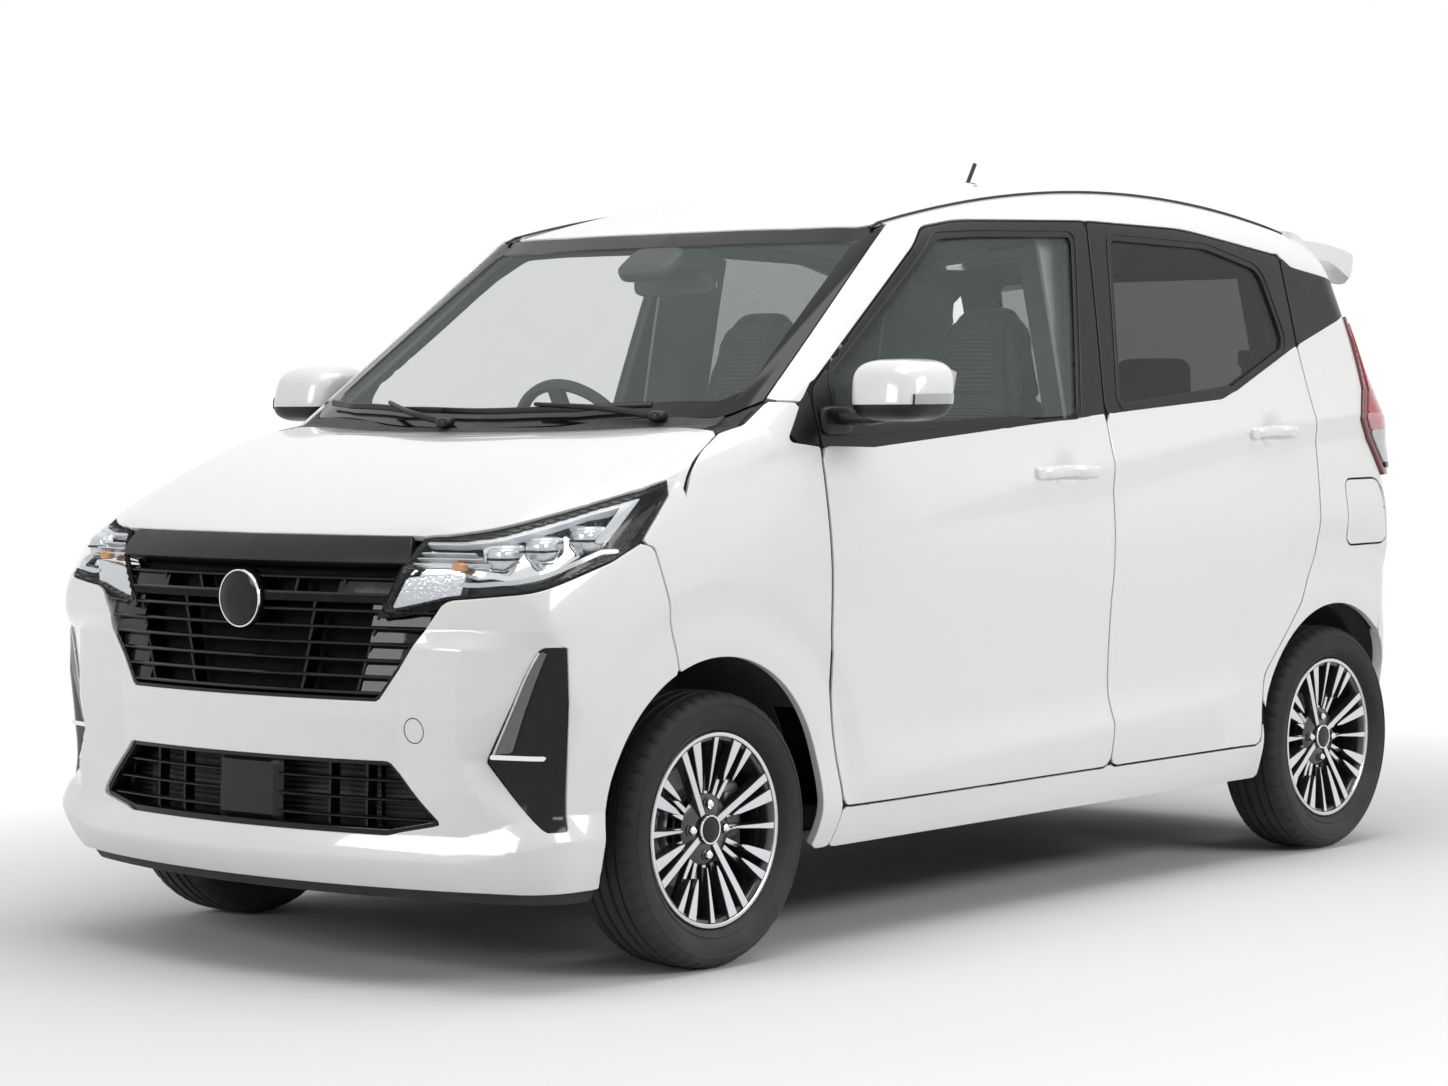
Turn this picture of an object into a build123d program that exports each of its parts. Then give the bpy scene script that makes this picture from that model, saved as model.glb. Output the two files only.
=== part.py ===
"""Kei car, five doors, right-hand drive, as an assembly of separate pieces.

Millimetres. X points forward, Y to the car's left and Z up. The origin is on
the ground, midway along and across the car.
"""
from build123d import *
import os
from math import sqrt, sin, cos, radians, pi, hypot, atan2

# Driving dimensions
LENGTH = 3395.0
WIDTH = 1475.0
ROOF_Z = 1640.0
FRONT_AXLE_X = 1073.0
REAR_AXLE_X = -1285.0
FRONT_WHEEL_Y = 650.0
REAR_WHEEL_Y = 645.0
TYRE_R = 275.0
TYRE_W = 165.0
RIM_R = 194.0
RIM_W = 127.0
HALF_L = LENGTH / 2
HALF_W = WIDTH / 2

# Walls and gaps
SKIN = 28.0
DOOR_LOW = 92.0
DOOR_HIGH = 46.0
END_WALL = 60.0
GAP = 5.0
STEP = 20.0
GLASS_T = 5.0
GLASS_IN = 9.0
BELT_LOW = 1050.0
BELT_HIGH = 1110.0

# Wheel arches: centre height and radius
ARCH_Z = 286.0
ARCH_FRONT_R = 335.0
ARCH_REAR_R = 323.0
HOUSE_T = 4.0

NOSE_R = 1900.0
TAIL_R = 2600.0

# Body outline seen from above.
# columns: height, nose x, tail x, half width, front corner radius, rear corner radius
PLAN = [
    (150, 1630, -1640, 672, 70, 80),
    (230, 1683, -1676, 706, 70, 90),
    (272, HALF_L, -1690, 715, 70, 90),
    (430, 1686, -HALF_L, 724, 70, 90),
    (620, 1676, -HALF_L, 735, 70, 90),
    (820, 1667, -1697, HALF_W, 75, 85),
    (920, 1650, -1696, 727, 80, 80),
    (1040, 1640, -1690, 709, 90, 80),
    (1110, 1640, -1670, 698, 90, 90),
    (1320, 1640, -1606, 659, 100, 110),
    (1500, 1640, -1545, 622, 100, 120),
    (1700, 1640, -1470, 581, 100, 120),
]

# Body outline seen from the side, at a few distances from the middle.
# columns: y, nose z, lip x, lip z, bonnet middle x, z, cowl x, z, header x, z,
#          roof middle x, z, roof rear x, z, tail z
SIDE = [
    (0, 800, 1630, 871, 1360, 1005, 1035, 1060, 365, 1498, -400, 1632, -1300, 1578, 1474),
    (330, 795, 1612, 866, 1350, 1003, 1010, 1064, 348, 1498, -400, 1622, -1300, 1569, 1467),
    (500, 770, 1570, 868, 1330, 985, 960, 1072, 325, 1497, -400, 1604, -1300, 1546, 1446),
    (590, 720, 1520, 868, 1310, 965, 920, 1076, 306, 1491, -400, 1566, -1300, 1508, 1412),
    (650, 660, 1470, 850, 1290, 945, 890, 1072, 292, 1452, -400, 1515, -1300, 1458, 1370),
    (700, 560, 1400, 820, 1260, 905, 850, 1042, 280, 1390, -400, 1440, -1300, 1385, 1300),
    (745, 400, 1300, 640, 1200, 730, 820, 880, 270, 1270, -400, 1300, -1300, 1250, 1170),
]
FRONT_END = 1780.0
REAR_END = -1800.0

# Side outlines (x, z, corner radius)
FRONT_DOOR = [
    (664, 283, 25), (700, 450, 200), (722, 640, 300), (722, 1030, 60), (727, 1140, 60),
    (232, 1494, 90), (100, 1513, 600), (-376, 1524, 12), (-322, 1091, 0), (-316, 900, 0),
    (-298, 665, 0), (-314, 283, 25),
]
REAR_DOOR = [
    (-314, 283, 25), (-298, 665, 0), (-316, 900, 0), (-322, 1091, 0), (-376, 1524, 12),
    (-780, 1516, 900), (-1192, 1463, 20), (-1203, 1245, 60), (-1225, 1036, 60),
    (-1203, 745, 120), (-1128, 618, 60), (-968, 450, 60), (-950, 283, 25),
]
FRONT_WINDOW = [
    (652, 1064, 12), (652, 1160, 25), (200, 1470, 60), (60, 1478, 300), (-304, 1486, 14),
    (-212, 1088, 14),
]
REAR_WINDOW = [
    (-391, 1106, 14), (-460, 1484, 14), (-860, 1473, 300), (-1085, 1425, 60),
    (-1140, 1262, 40), (-1130, 1236, 20), (-880, 1146, 80),
]
FLAP = [(-1345, 748, 26), (-1525, 748, 30), (-1528, 800, 60), (-1505, 912, 40), (-1338, 912, 22)]


def vec(u, v, plane, w):
    """Put an outline point (u, v) into space; w is the coordinate across its plane."""
    return {"xz": (u, w, v), "yz": (w, u, v), "xy": (u, v, w)}[plane]


def outline_edges(points, plane, w):
    """Closed outline of straight runs whose corners are rounded by their own radius."""
    count = len(points)
    cuts = []
    for i, point in enumerate(points):
        x, z = point[0], point[1]
        r = point[2] if len(point) > 2 else 0
        ax, az = points[i - 1][0] - x, points[i - 1][1] - z
        bx, bz = points[(i + 1) % count][0] - x, points[(i + 1) % count][1] - z
        la, lb = hypot(ax, az), hypot(bx, bz)
        ax, az, bx, bz = ax / la, az / la, bx / lb, bz / lb
        half = atan2(abs(ax * bz - az * bx), ax * bx + az * bz) / 2
        back = 0 if r == 0 else min(r / max(sin(half) / cos(half), 1e-6), 0.46 * la, 0.46 * lb)
        if back < 0.5:
            cuts.append(((x, z), None, (x, z)))
            continue
        radius = back * sin(half) / cos(half)
        mx, mz = ax + bx, az + bz
        lm = hypot(mx, mz)
        reach = radius / sin(half) - radius
        cuts.append((
            (x + ax * back, z + az * back),
            (x + mx / lm * reach, z + mz / lm * reach),
            (x + bx * back, z + bz * back),
        ))
    edges = []
    for i, (start, mid, end) in enumerate(cuts):
        if mid is not None:
            edges.append(ThreePointArc(*[vec(*p, plane, w) for p in (start, mid, end)]))
        nxt = cuts[(i + 1) % count][0]
        if hypot(nxt[0] - end[0], nxt[1] - end[1]) > 0.01:
            edges.append(Line(vec(*end, plane, w), vec(*nxt, plane, w)))
    return edges


def prism(points, plane, low, high):
    """Solid with a rounded outline, from low to high across the outline's plane."""
    face = make_face(outline_edges(points, plane, low))
    along = {"xz": (0, 1, 0), "yz": (1, 0, 0), "xy": (0, 0, 1)}[plane]
    return extrude(face, amount=high - low, dir=along)


def grown(points, distance):
    """The same outline moved outwards (or inwards, if negative) by a distance."""
    count = len(points)
    area = sum(points[i - 1][0] * points[i][1] - points[i][0] * points[i - 1][1] for i in range(count))
    turn = 1 if area > 0 else -1
    moved = []
    for i, point in enumerate(points):
        before, after = points[i - 1], points[(i + 1) % count]
        d1 = (point[0] - before[0], point[1] - before[1])
        d2 = (after[0] - point[0], after[1] - point[1])
        l1, l2 = hypot(*d1), hypot(*d2)
        n1 = (turn * d1[1] / l1, -turn * d1[0] / l1)
        n2 = (turn * d2[1] / l2, -turn * d2[0] / l2)
        scale = distance / (1 + n1[0] * n2[0] + n1[1] * n2[1])
        r = point[2] if len(point) > 2 else 0
        if r:
            side = turn * (d1[0] * d2[1] - d1[1] * d2[0])
            r = max(r + (distance if side > 0 else -distance), 2)
        moved.append((point[0] + (n1[0] + n2[0]) * scale, point[1] + (n1[1] + n2[1]) * scale, r))
    return moved


def block(x0, x1, y0, y1, z0, z1):
    """Plain box between two corners."""
    return Pos((x0 + x1) / 2, (y0 + y1) / 2, (z0 + z1) / 2) * Box(x1 - x0, y1 - y0, z1 - z0)


def across(x, z, r, y0, y1):
    """Cylinder along Y."""
    return Pos(x, (y0 + y1) / 2, z) * Rot(90, 0, 0) * Cylinder(r, abs(y1 - y0))


def upright(x, y, r, z0, z1):
    """Cylinder along Z."""
    return Pos(x, y, (z0 + z1) / 2) * Cylinder(r, z1 - z0)


def tube_path(points, r, bend):
    """Round bar along straight runs joined by arcs."""
    path = FilletPolyline(*points, radius=bend)
    return sweep(Plane(path @ 0, z_dir=path % 0) * Circle(r), path=path)


def turned(profile, x, y, z):
    """Ring turned about the Y axis through (x, y, z); profile is (radius, y) pairs."""
    face = make_face(Polyline(*[(x + r, y + dy, z) for r, dy in profile], close=True))
    return revolve(face, Axis((x, y, z), (0, 1, 0)))


def mirrored(shape):
    """The same piece on the other side of the car."""
    return mirror(shape, about=Plane.XZ)


def plan_wire(z, nose, tail, half, rf, rr, inset, side_inset):
    """One height of the body: nose and tail arcs with rounded corners."""
    nose, tail, half = nose - inset, tail + inset, half - side_inset
    rf, rr = max(rf - inset, 12), max(rr - inset, 12)
    big, rear = NOSE_R - inset, TAIL_R - inset
    fx, fy = nose - big + sqrt((big - rf) ** 2 - (half - rf) ** 2), half - rf
    tx, ty = tail + rear - sqrt((rear - rr) ** 2 - (half - rr) ** 2), half - rr
    fa = atan2(fy, fx - (nose - big))
    ta = atan2(ty, (tail + rear) - tx)
    f_end = (fx + rf * cos(fa), fy + rf * sin(fa))
    f_mid = (fx + rf * cos((fa + pi / 2) / 2), fy + rf * sin((fa + pi / 2) / 2))
    t_end = (tx - rr * cos(ta), ty + rr * sin(ta))
    t_mid = (tx - rr * cos((ta + pi / 2) / 2), ty + rr * sin((ta + pi / 2) / 2))
    return Wire([
        ThreePointArc((f_end[0], -f_end[1], z), (nose, 0, z), (f_end[0], f_end[1], z)),
        ThreePointArc((f_end[0], f_end[1], z), (f_mid[0], f_mid[1], z), (fx, half, z)),
        Line((fx, half, z), (tx, half, z)),
        ThreePointArc((tx, half, z), (t_mid[0], t_mid[1], z), (t_end[0], t_end[1], z)),
        ThreePointArc((t_end[0], t_end[1], z), (tail, 0, z), (t_end[0], -t_end[1], z)),
        ThreePointArc((t_end[0], -t_end[1], z), (t_mid[0], -t_mid[1], z), (tx, -half, z)),
        Line((tx, -half, z), (fx, -half, z)),
        ThreePointArc((fx, -half, z), (f_mid[0], -f_mid[1], z), (f_end[0], -f_end[1], z)),
    ])


def side_wire(row, y, inset):
    """One slice of the body: bonnet, windscreen and roof over a flat bottom."""
    nose_z, lip, bonnet = row[1], (row[2], row[3]), (row[4], row[5])
    cowl, header, top = (row[6], row[7]), (row[8], row[9]), (row[10], row[11])
    rear, tail_z = (row[12], row[13]), row[14]
    run = [(FRONT_END, nose_z), lip, bonnet, cowl, header, top, rear, (REAR_END, tail_z)]
    if inset:
        moved = []
        for i, (x, z) in enumerate(run):
            bx, bz = run[max(i - 1, 0)]
            ax, az = run[min(i + 1, len(run) - 1)]
            d1 = (x - bx, z - bz) if i else (ax - x, az - z)
            d2 = (ax - x, az - z) if i < len(run) - 1 else d1
            l1, l2 = hypot(*d1), hypot(*d2)
            n1, n2 = (d1[1] / l1, -d1[0] / l1), (d2[1] / l2, -d2[0] / l2)
            k = inset / (1 + n1[0] * n2[0] + n1[1] * n2[1])
            moved.append((x - (n1[0] + n2[0]) * k, z - (n1[1] + n2[1]) * k))
        run = moved
        run[0], run[-1] = (FRONT_END, run[0][1]), (REAR_END, run[-1][1])
    p = [(x, y, z) for x, z in run]
    low_front, low_rear = (FRONT_END, y, 100), (REAR_END, y, 100)
    return Wire([
        Line(low_front, p[0]), Line(p[0], p[1]), ThreePointArc(p[1], p[2], p[3]), Line(p[3], p[4]),
        ThreePointArc(p[4], p[5], p[6]), Line(p[6], p[7]), Line(p[7], low_rear), Line(low_rear, low_front),
    ])


def body_form(inset, side_low=None, side_high=None):
    """Whole body as one solid, set in from the outside by the inset."""
    low = inset if side_low is None else side_low
    high = inset if side_high is None else side_high
    levels = []
    for z, nose, tail, half, rf, rr in PLAN:
        share = min(max((z - BELT_LOW) / (BELT_HIGH - BELT_LOW), 0), 1)
        levels.append(plan_wire(z, nose, tail, half, rf, rr, inset, low + (high - low) * share))
    hull = Solid.make_loft(levels, ruled=True)
    rows = [side_wire(row, -row[0], inset) for row in reversed(SIDE[1:])]
    rows += [side_wire(row, row[0], inset) for row in SIDE]
    crown = Solid.make_loft(rows, ruled=True)
    return hull & crown



def half_at(z):
    """Half width of the body at a height."""
    for low, high in zip(PLAN, PLAN[1:]):
        if z <= high[0]:
            return low[3] + (high[3] - low[3]) * (z - low[0]) / (high[0] - low[0])
    return PLAN[-1][3]


def save(name, *solids):
    """Write the solids of one named piece to its own file."""
    flat = []
    for item in solids:
        flat += item.solids()
    shape = flat[0] if len(flat) == 1 else Compound(children=flat)
    export_step(shape, f"parts/{name}.step")


def both(name, piece):
    """Write a left-hand piece and its mirror image as two pieces."""
    save(name + "_left", piece)
    save(name + "_right", mirrored(piece))


def pair(name, piece):
    """Write a left-hand piece and its mirror image as one piece."""
    save(name, piece, mirrored(piece))


# Outlines of the body panels. Side views are (x, z), front views (y, z), plans (x, y).
BONNET_SIDE = [(1760, 871), (1574, 871), (1152, 977), (969, 1083), (900, 1200), (1760, 1200)]
BONNET_PLAN = [(1760, -760), (969, -760), (969, -620, 60), (1038, -180, 600), (1038, 180, 600),
               (969, 620, 60), (969, 760), (1760, 760)]
LAMP_SIDE = [(1152, 975), (1574, 869), (1760, 869), (1760, 722), (1636, 722), (1602, 752),
             (1360, 820, 60), (1283, 851, 10)]
LAMP_FRONT = [(447, 900), (360, 722), (360, 700), (800, 700), (800, 1000), (447, 1000)]
FENDER_SIDE = [(690, 200), (667, 283), (703, 450, 200), (725, 640, 300), (725, 1029), (815, 1040, 6),
               (750, 1115, 6), (846, 1121), (940, 1110), (972, 1077), (1150, 973), (1280, 850),
               (1250, 841), (1196, 586), (1190, 200)]
BUMPER_SIDE = [(1192, 190), (1198, 586), (1252, 841), (1283, 850), (1360, 817, 60), (1602, 749),
               (1760, 749), (1760, 190)]
GRILLE_FRONT = [(-353, 551, 14), (353, 551, 14), (499, 750, 6), (362, 722, 0), (447, 869, 6),
                (-447, 869, 6), (-362, 722, 0), (-499, 750, 6)]
INTAKE_FRONT = [(-373, 439, 12), (373, 439, 12), (493, 319, 10), (367, 295, 40), (-367, 295, 40),
                (-493, 319, 10)]
BEZEL_FRONT = [(690, 662, 4), (719, 664, 3), (719, 312, 3), (693, 312, 6), (587, 443, 5)]
FRAME_SIDE = [(790, 200), (790, 1032), (819, 1043), (753, 1120),
              (846, 1126), (1000, 1135), (1000, 1760), (-1402, 1760), (-1402, 1555),
              (-1490, 1402), (-1522, 1316), (-1537, 1070), (-1596, 915), (-1542, 744),
              (-1502, 605), (-1495, 200)]
FRAME_PLAN = [(1020, 800), (1020, 676), (824, 641), (306, 563), (288, 527), (-1393, 527),
              (-1407, 578), (-1760, 578), (-1760, 800)]
ROOF_PLAN = [(288, -527), (325, -500), (348, -330), (362, 0), (348, 330), (325, 500), (288, 527),
             (-1397, 527), (-1397, -527)]
SCREEN_PLAN = [(306, -563), (288, -527), (325, -500), (348, -330), (362, 0), (348, 330),
               (325, 500), (288, 527), (306, 563), (824, 641), (905, 590, 80), (1005, 250, 500),
               (1022, 0), (1005, -250, 500), (905, -590, 80), (824, -641)]
TAILGATE_REAR = [(-540, 640, 40), (540, 640, 40), (560, 900, 200), (571, 1320, 200),
                 (571, 1420, 30), (522, 1500, 30), (522, 1760), (-522, 1760), (-522, 1500, 30),
                 (-571, 1420, 30), (-571, 1320, 200), (-560, 900, 200)]
TAILGATE_SIDE = [(-1402, 1760), (-1402, 1430), (-1330, 1300), (-1330, 600), (-1760, 600), (-1760, 1760)]
TAIL_WINDOW = [(-505, 1075, 40), (505, 1075, 40), (478, 1452, 50), (-478, 1452, 50)]
TAIL_LAMP_SIDE = [(-1598, 917), (-1539, 1070), (-1524, 1314), (-1760, 1314), (-1760, 917)]
REAR_BUMPER_SIDE = [(-1499, 200), (-1506, 605), (-1546, 744), (-1600, 913), (-1760, 913), (-1760, 200)]
SPOILER_PLAN = [(-1406, -515), (-1406, 515), (-1416, 521), (-1470, 545, 60), (-1700, 520, 20),
                (-1700, -520, 20), (-1470, -545, 60), (-1416, -521)]
SPOILER_SIDE = [(-1408, 1500), (-1408, 1562), (-1560, 1546, 200), (-1672, 1520, 4), (-1664, 1421, 14),
                (-1560, 1476, 40)]

# Furniture side views (x, z)
SEAT_SIDE = [(330, 470, 40), (345, 590, 60), (-130, 600, 60), (-290, 1150, 60), (-400, 1150, 50),
             (-255, 560, 60), (-200, 460, 40)]
SEAT_BASE = [(290, 226), (290, 475), (-170, 465), (-170, 226)]
HEADREST_SIDE = [(-318, 1175, 40), (-345, 1372, 40), (-425, 1372, 40), (-405, 1175, 30)]
BENCH_SIDE = [(-560, 470, 40), (-550, 585, 50), (-1010, 575, 40), (-1105, 1050, 40),
              (-1195, 1050, 40), (-1100, 520, 40), (-1080, 450, 20)]
BENCH_REST_SIDE = [(-1095, 1070, 30), (-1110, 1230, 30), (-1180, 1230, 30), (-1185, 1070, 20)]
DASH_SIDE = [(800, 640), (800, 1010, 30), (560, 1062, 120), (452, 1030, 40), (440, 860, 60),
             (500, 640, 40)]

# The wheel's spokes over a quarter turn: angle from up towards the rear, half width at the hub
# and at the rim, and height of the outer face
SPOKES = [(-30, 6, 8.5, 58), (-17, 5, 12, 56), (2.5, 3, 7, 55), (23, 5, 12, 56), (35, 5, 9, 56)]
HUB_R = 64.0
STEER_X, STEER_Y, STEER_Z = 295.0, -340.0, 1000.0
STEER_R = 178.0
STEER_TILT = 27.0
JACK_X = (540.0, -760.0)
JACK_Z = 192.0
PLATE_HOLES = (105.0, 760.0, 3.25)
KING_LOW = (FRONT_AXLE_X, 583.0, 190.0)
KING_HIGH = (FRONT_AXLE_X, 470.0, 850.0)


def king_at(z):
    """Point of the left kingpin axis at a height."""
    share = (z - KING_LOW[2]) / (KING_HIGH[2] - KING_LOW[2])
    return tuple(a + (b - a) * share for a, b in zip(KING_LOW, KING_HIGH))


def rod(start, end, r):
    """Round bar between two points."""
    a, b = Vector(*start), Vector(*end)
    return extrude(Plane(a, z_dir=b - a) * Circle(r), amount=(b - a).length)


def door(wall, middle, outline, window, handle_x, handle_z):
    """Left door: outer skin, a stepped inner part, the window opening and a pull handle."""
    slab = wall & prism(grown(outline, -GAP / 2), "xz", 550, 800)
    ring = prism(grown(outline, 40), "xz", 380, 800) - prism(grown(outline, -GAP / 2 - STEP), "xz", 370, 810)
    slab = slab - (middle & ring) - prism(window, "xz", 380, 800)
    slab -= block(655, 760, 400, 672, 1085, 1200)
    y = half_at(handle_z)
    scoop = Pos(handle_x, y + 44, handle_z) * Sphere(58)
    bar = block(handle_x - 112, handle_x + 112, y + 14, y + 30, handle_z - 17, handle_z + 17)
    bar = fillet(bar.edges().filter_by(Axis.X), 7)
    feet = [block(handle_x + side * 96 - 15, handle_x + side * 96 + 15, y - 12, y + 16,
                  handle_z - 13, handle_z + 13) for side in (-1, 1)]
    return slab - scoop + bar + feet[0] + feet[1]


def wheel(disc_r, disc_y, bore):
    """Left wheel about its own centre: rim, spokes, hub and brake disc or drum, fused."""
    half = RIM_W / 2
    rim = turned([(RIM_R, half), (RIM_R, half - 5.5), (180, half - 5.5), (180, 45), (171, 34),
                  (171, -34), (180, -45), (180, 5.5 - half), (RIM_R, 5.5 - half), (RIM_R, -half),
                  (174, -half), (174, -50), (165, -37), (165, 37), (174, 50), (174, half)], 0, 0, 0)
    body = rim + across(0, 0, HUB_R, 36, 58)
    for quarter in range(4):
        for angle, inner_half, outer_half, face in SPOKES:
            plan = [(-inner_half, 50), (inner_half, 50), (outer_half, 174), (-outer_half, 174)]
            body += Rot(0, -(angle + 90 * quarter), 0) * prism(plan, "xz", 40, face)
    body += across(0, 0, 70, disc_y, 37)
    body += across(0, 0, disc_r, disc_y, disc_y + (12 if disc_r > 110 else 50))
    return body - across(0, 0, bore, disc_y - 5, 22)


def tyre():
    """Tyre about its own centre, hollow inside."""
    half = TYRE_W / 2
    bead = RIM_R + 1
    return turned([(180, 57.5), (bead, 57.5), (204, 72), (236, half), (266, 72), (TYRE_R, 48),
                   (TYRE_R, -48), (266, -72), (236, -half), (204, -72), (bead, -57.5), (180, -57.5),
                   (180, -46), (236, -68), (262, -44), (262, 44), (236, 68), (180, 46)], 0, 0, 0)


def wheel_house(x, radius, inner_y, outer_y, top_cut):
    """Left wheel house: an arched wall over the wheel with a flat inner side."""
    arch = across(x, ARCH_Z, radius + 8, inner_y, outer_y) - across(x, ARCH_Z, radius + 4, inner_y + 4, outer_y)
    arch -= block(x - 500, x + 500, inner_y - 20, outer_y + 20, 0, 205)
    return arch - block(x - 230, x + 230, inner_y - 10, inner_y + 60, 200, top_cut)


def main():
    """Build every piece and write it to the parts folder."""
    os.makedirs("parts", exist_ok=True)
    outer = body_form(0)
    middle = body_form(SKIN)
    inner = body_form(END_WALL, DOOR_LOW, DOOR_HIGH)
    wall = outer - inner
    skin = outer - middle
    glass_face = body_form(GLASS_IN)
    glass_back = body_form(GLASS_IN + GLASS_T)
    glass = glass_face - glass_back
    arch_front = across(FRONT_AXLE_X, ARCH_Z, ARCH_FRONT_R, 400, 800)
    arch_rear = across(REAR_AXLE_X, ARCH_Z, ARCH_REAR_R, 560, 800)

    # The left side of each form, which the doors and the side frame share
    flank = block(-1760, 1050, 500, 800, 150, 1760)
    side_middle = middle & flank
    side_wall = (outer & flank) - (inner & flank)
    side_glass = (glass_face & flank) - (glass_back & flank)

    # Side frames
    frame = side_wall & prism(FRAME_SIDE, "xz", 500, 800) & prism(FRAME_PLAN, "xy", 150, 1760)
    for outline in (FRONT_DOOR, REAR_DOOR):
        frame -= prism(grown(outline, GAP / 2), "xz", 510, 820) - side_middle
        frame -= prism(grown(outline, 5 - STEP), "xz", 480, 820)
    fender_cut = prism(grown(FENDER_SIDE, 1), "xz", 560, 820) & block(500, 1040, 500, 820, 150, 1300)
    frame -= fender_cut - side_middle
    frame = frame - arch_rear - across(FRONT_AXLE_X, ARCH_Z, ARCH_FRONT_R + 14, 400, 800)
    for x in JACK_X:
        frame += block(x - 35, x + 35, 635, 675, JACK_Z, 206)
    save("side_frame_right", mirrored(frame))
    pocket = prism(grown(FLAP, 2.5), "xz", 690, 800) - glass_back
    filler = across(-1435, 830, 45, 655, 800)
    save("side_frame_left", frame - pocket - filler)
    save("fuel_flap", (prism(grown(FLAP, -2.5), "xz", 690, 800) & outer) - glass_face)

    # Roof, windscreen and cowl
    save("roof", skin & prism(ROOF_PLAN, "xy", 1300, 1760))
    save("windscreen", glass & prism(SCREEN_PLAN, "xy", 1000, 1600) & block(200, 1100, -700, 700, 1000, 1600))
    cowl_area = block(800, 1060, -655, 655, 1000, 1130) - prism(grown(BONNET_PLAN, GAP), "xy", 900, 1300)
    cowl_top = (skin & cowl_area) - prism(SCREEN_PLAN, "xy", 900, 1600) - prism(FRAME_SIDE, "xz", -800, 800)
    cowl_top -= prism(grown(FENDER_SIDE, 1), "xz", 595, 800)
    cowl_top -= mirrored(prism(grown(FENDER_SIDE, 1), "xz", 595, 800))
    cowl = cowl_top + (block(862, 985, -560, 560, 985, 1080) & middle)
    dash_panel = block(862, 872, -620, 620, 205, 1010) & inner
    for side in (-1, 1):
        dash_panel -= across(FRONT_AXLE_X, ARCH_Z, ARCH_FRONT_R + 11, side * 400, side * 700)
    cowl += dash_panel
    for side in (-1, 1):
        cowl += block(865, 1560, side * 365 - 30, side * 365 + 30, 330, 420)
        cowl += block(1530, 1560, side * 365 - 30, side * 365 + 30, 250, 780)
    cowl += block(1530, 1560, -395, 395, 250, 290) + block(1530, 1560, -395, 395, 750, 780)
    house = wheel_house(FRONT_AXLE_X, ARCH_FRONT_R + 6, 400, 712, 400) & middle
    house -= block(600, 800, 500, 800, 150, 700) - inner
    tower_low, tower_high = king_at(560), king_at(850)
    house -= rod(king_at(500), king_at(700), 78)
    tower = rod(tower_low, tower_high, 84) - rod(king_at(540), king_at(842), 78)
    tower -= across(FRONT_AXLE_X, ARCH_Z, ARCH_FRONT_R + 10, 300, 700)
    house += tower
    cowl += house + mirrored(house)
    save("cowl_firewall", cowl)

    # Fenders, bumper, lamps and grilles
    fender = (skin & prism(FENDER_SIDE, "xz", 600, 800)) - arch_front
    fender -= prism(grown(SCREEN_PLAN, 3), "xy", 900, 1300)
    pair("fenders", fender)
    lamp_zone = prism(LAMP_SIDE, "xz", 330, 800) & prism(LAMP_FRONT, "yz", 1100, 1760)
    grille_cut = prism(grown(GRILLE_FRONT, 0.5), "yz", 1400, 1760)
    pair("headlamps", (wall & lamp_zone) - grille_cut)
    intake_cut = prism(INTAKE_FRONT, "yz", 1400, 1760)
    bezel_cut = prism(BEZEL_FRONT, "yz", 1515, 1760)
    bumper = skin & prism(BUMPER_SIDE, "xz", -800, 800) & block(1150, 1760, -800, 800, 190, 860)
    bumper = bumper - grille_cut - intake_cut - bezel_cut - mirrored(bezel_cut)
    bumper = bumper - arch_front - mirrored(arch_front) - lamp_zone - mirrored(lamp_zone)
    save("front_bumper", bumper)
    save("upper_grille", upper_grille())
    save("lower_grille", lower_grille())
    pair("lamp_bezels", skin & bezel_cut)
    bonnet = skin & prism(BONNET_SIDE, "xz", -800, 800) & prism(BONNET_PLAN, "xy", 800, 1300)
    lamp_gap = prism(grown(LAMP_SIDE, GAP), "xz", 300, 800) & prism(grown(LAMP_FRONT, GAP), "yz", 1100, 1760)
    bonnet = bonnet - lamp_gap - mirrored(lamp_gap)
    fender_gap = prism(grown(FENDER_SIDE, GAP), "xz", 595, 800)
    bonnet = bonnet - fender_gap - mirrored(fender_gap)
    bonnet -= block(1400, 1760, -460, 460, 800, 871 + GAP)
    save("bonnet", bonnet)

    # Tail
    gate_zone = prism(grown(TAILGATE_REAR, -GAP / 2), "yz", -1800, -1200)
    gate_zone &= prism(grown(TAILGATE_SIDE, -GAP / 2), "xz", -800, 800)
    gate = wall & gate_zone
    spoiler = prism(SPOILER_SIDE, "xz", -560, 560) & prism(SPOILER_PLAN, "xy", 1300, 1700)
    gate = gate - prism(TAIL_WINDOW, "yz", -1800, -1200)
    gate += spoiler
    hole_y, hole_z, hole_r = PLATE_HOLES
    for side in (-1, 1):
        gate -= rod((-1760, side * hole_y, hole_z), (-1600, side * hole_y, hole_z), hole_r)
    save("tailgate", gate)
    save("tailgate_glass", glass & prism(TAIL_WINDOW, "yz", -1800, -1300) - spoiler)
    tail_lamp = wall & prism(TAIL_LAMP_SIDE, "xz", 500, 800) & block(-1760, -1400, 578, 800, 900, 1330)
    pair("tail_lamps", tail_lamp)
    rear_bumper = wall & prism(REAR_BUMPER_SIDE, "xz", -800, 800)
    rear_bumper -= prism(grown(TAILGATE_REAR, GAP / 2), "yz", -1800, -1200)
    rear_bumper -= block(-1560, -1400, -575, 575, 190, 1300)
    rear_bumper -= block(-1600, -1400, -450, -110, 150, 300)
    rear_bumper -= block(-1760, -1500, -330, -270, 150, 234)
    rear_bumper = rear_bumper - arch_rear - mirrored(arch_rear)
    save("rear_bumper", rear_bumper)

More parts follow.
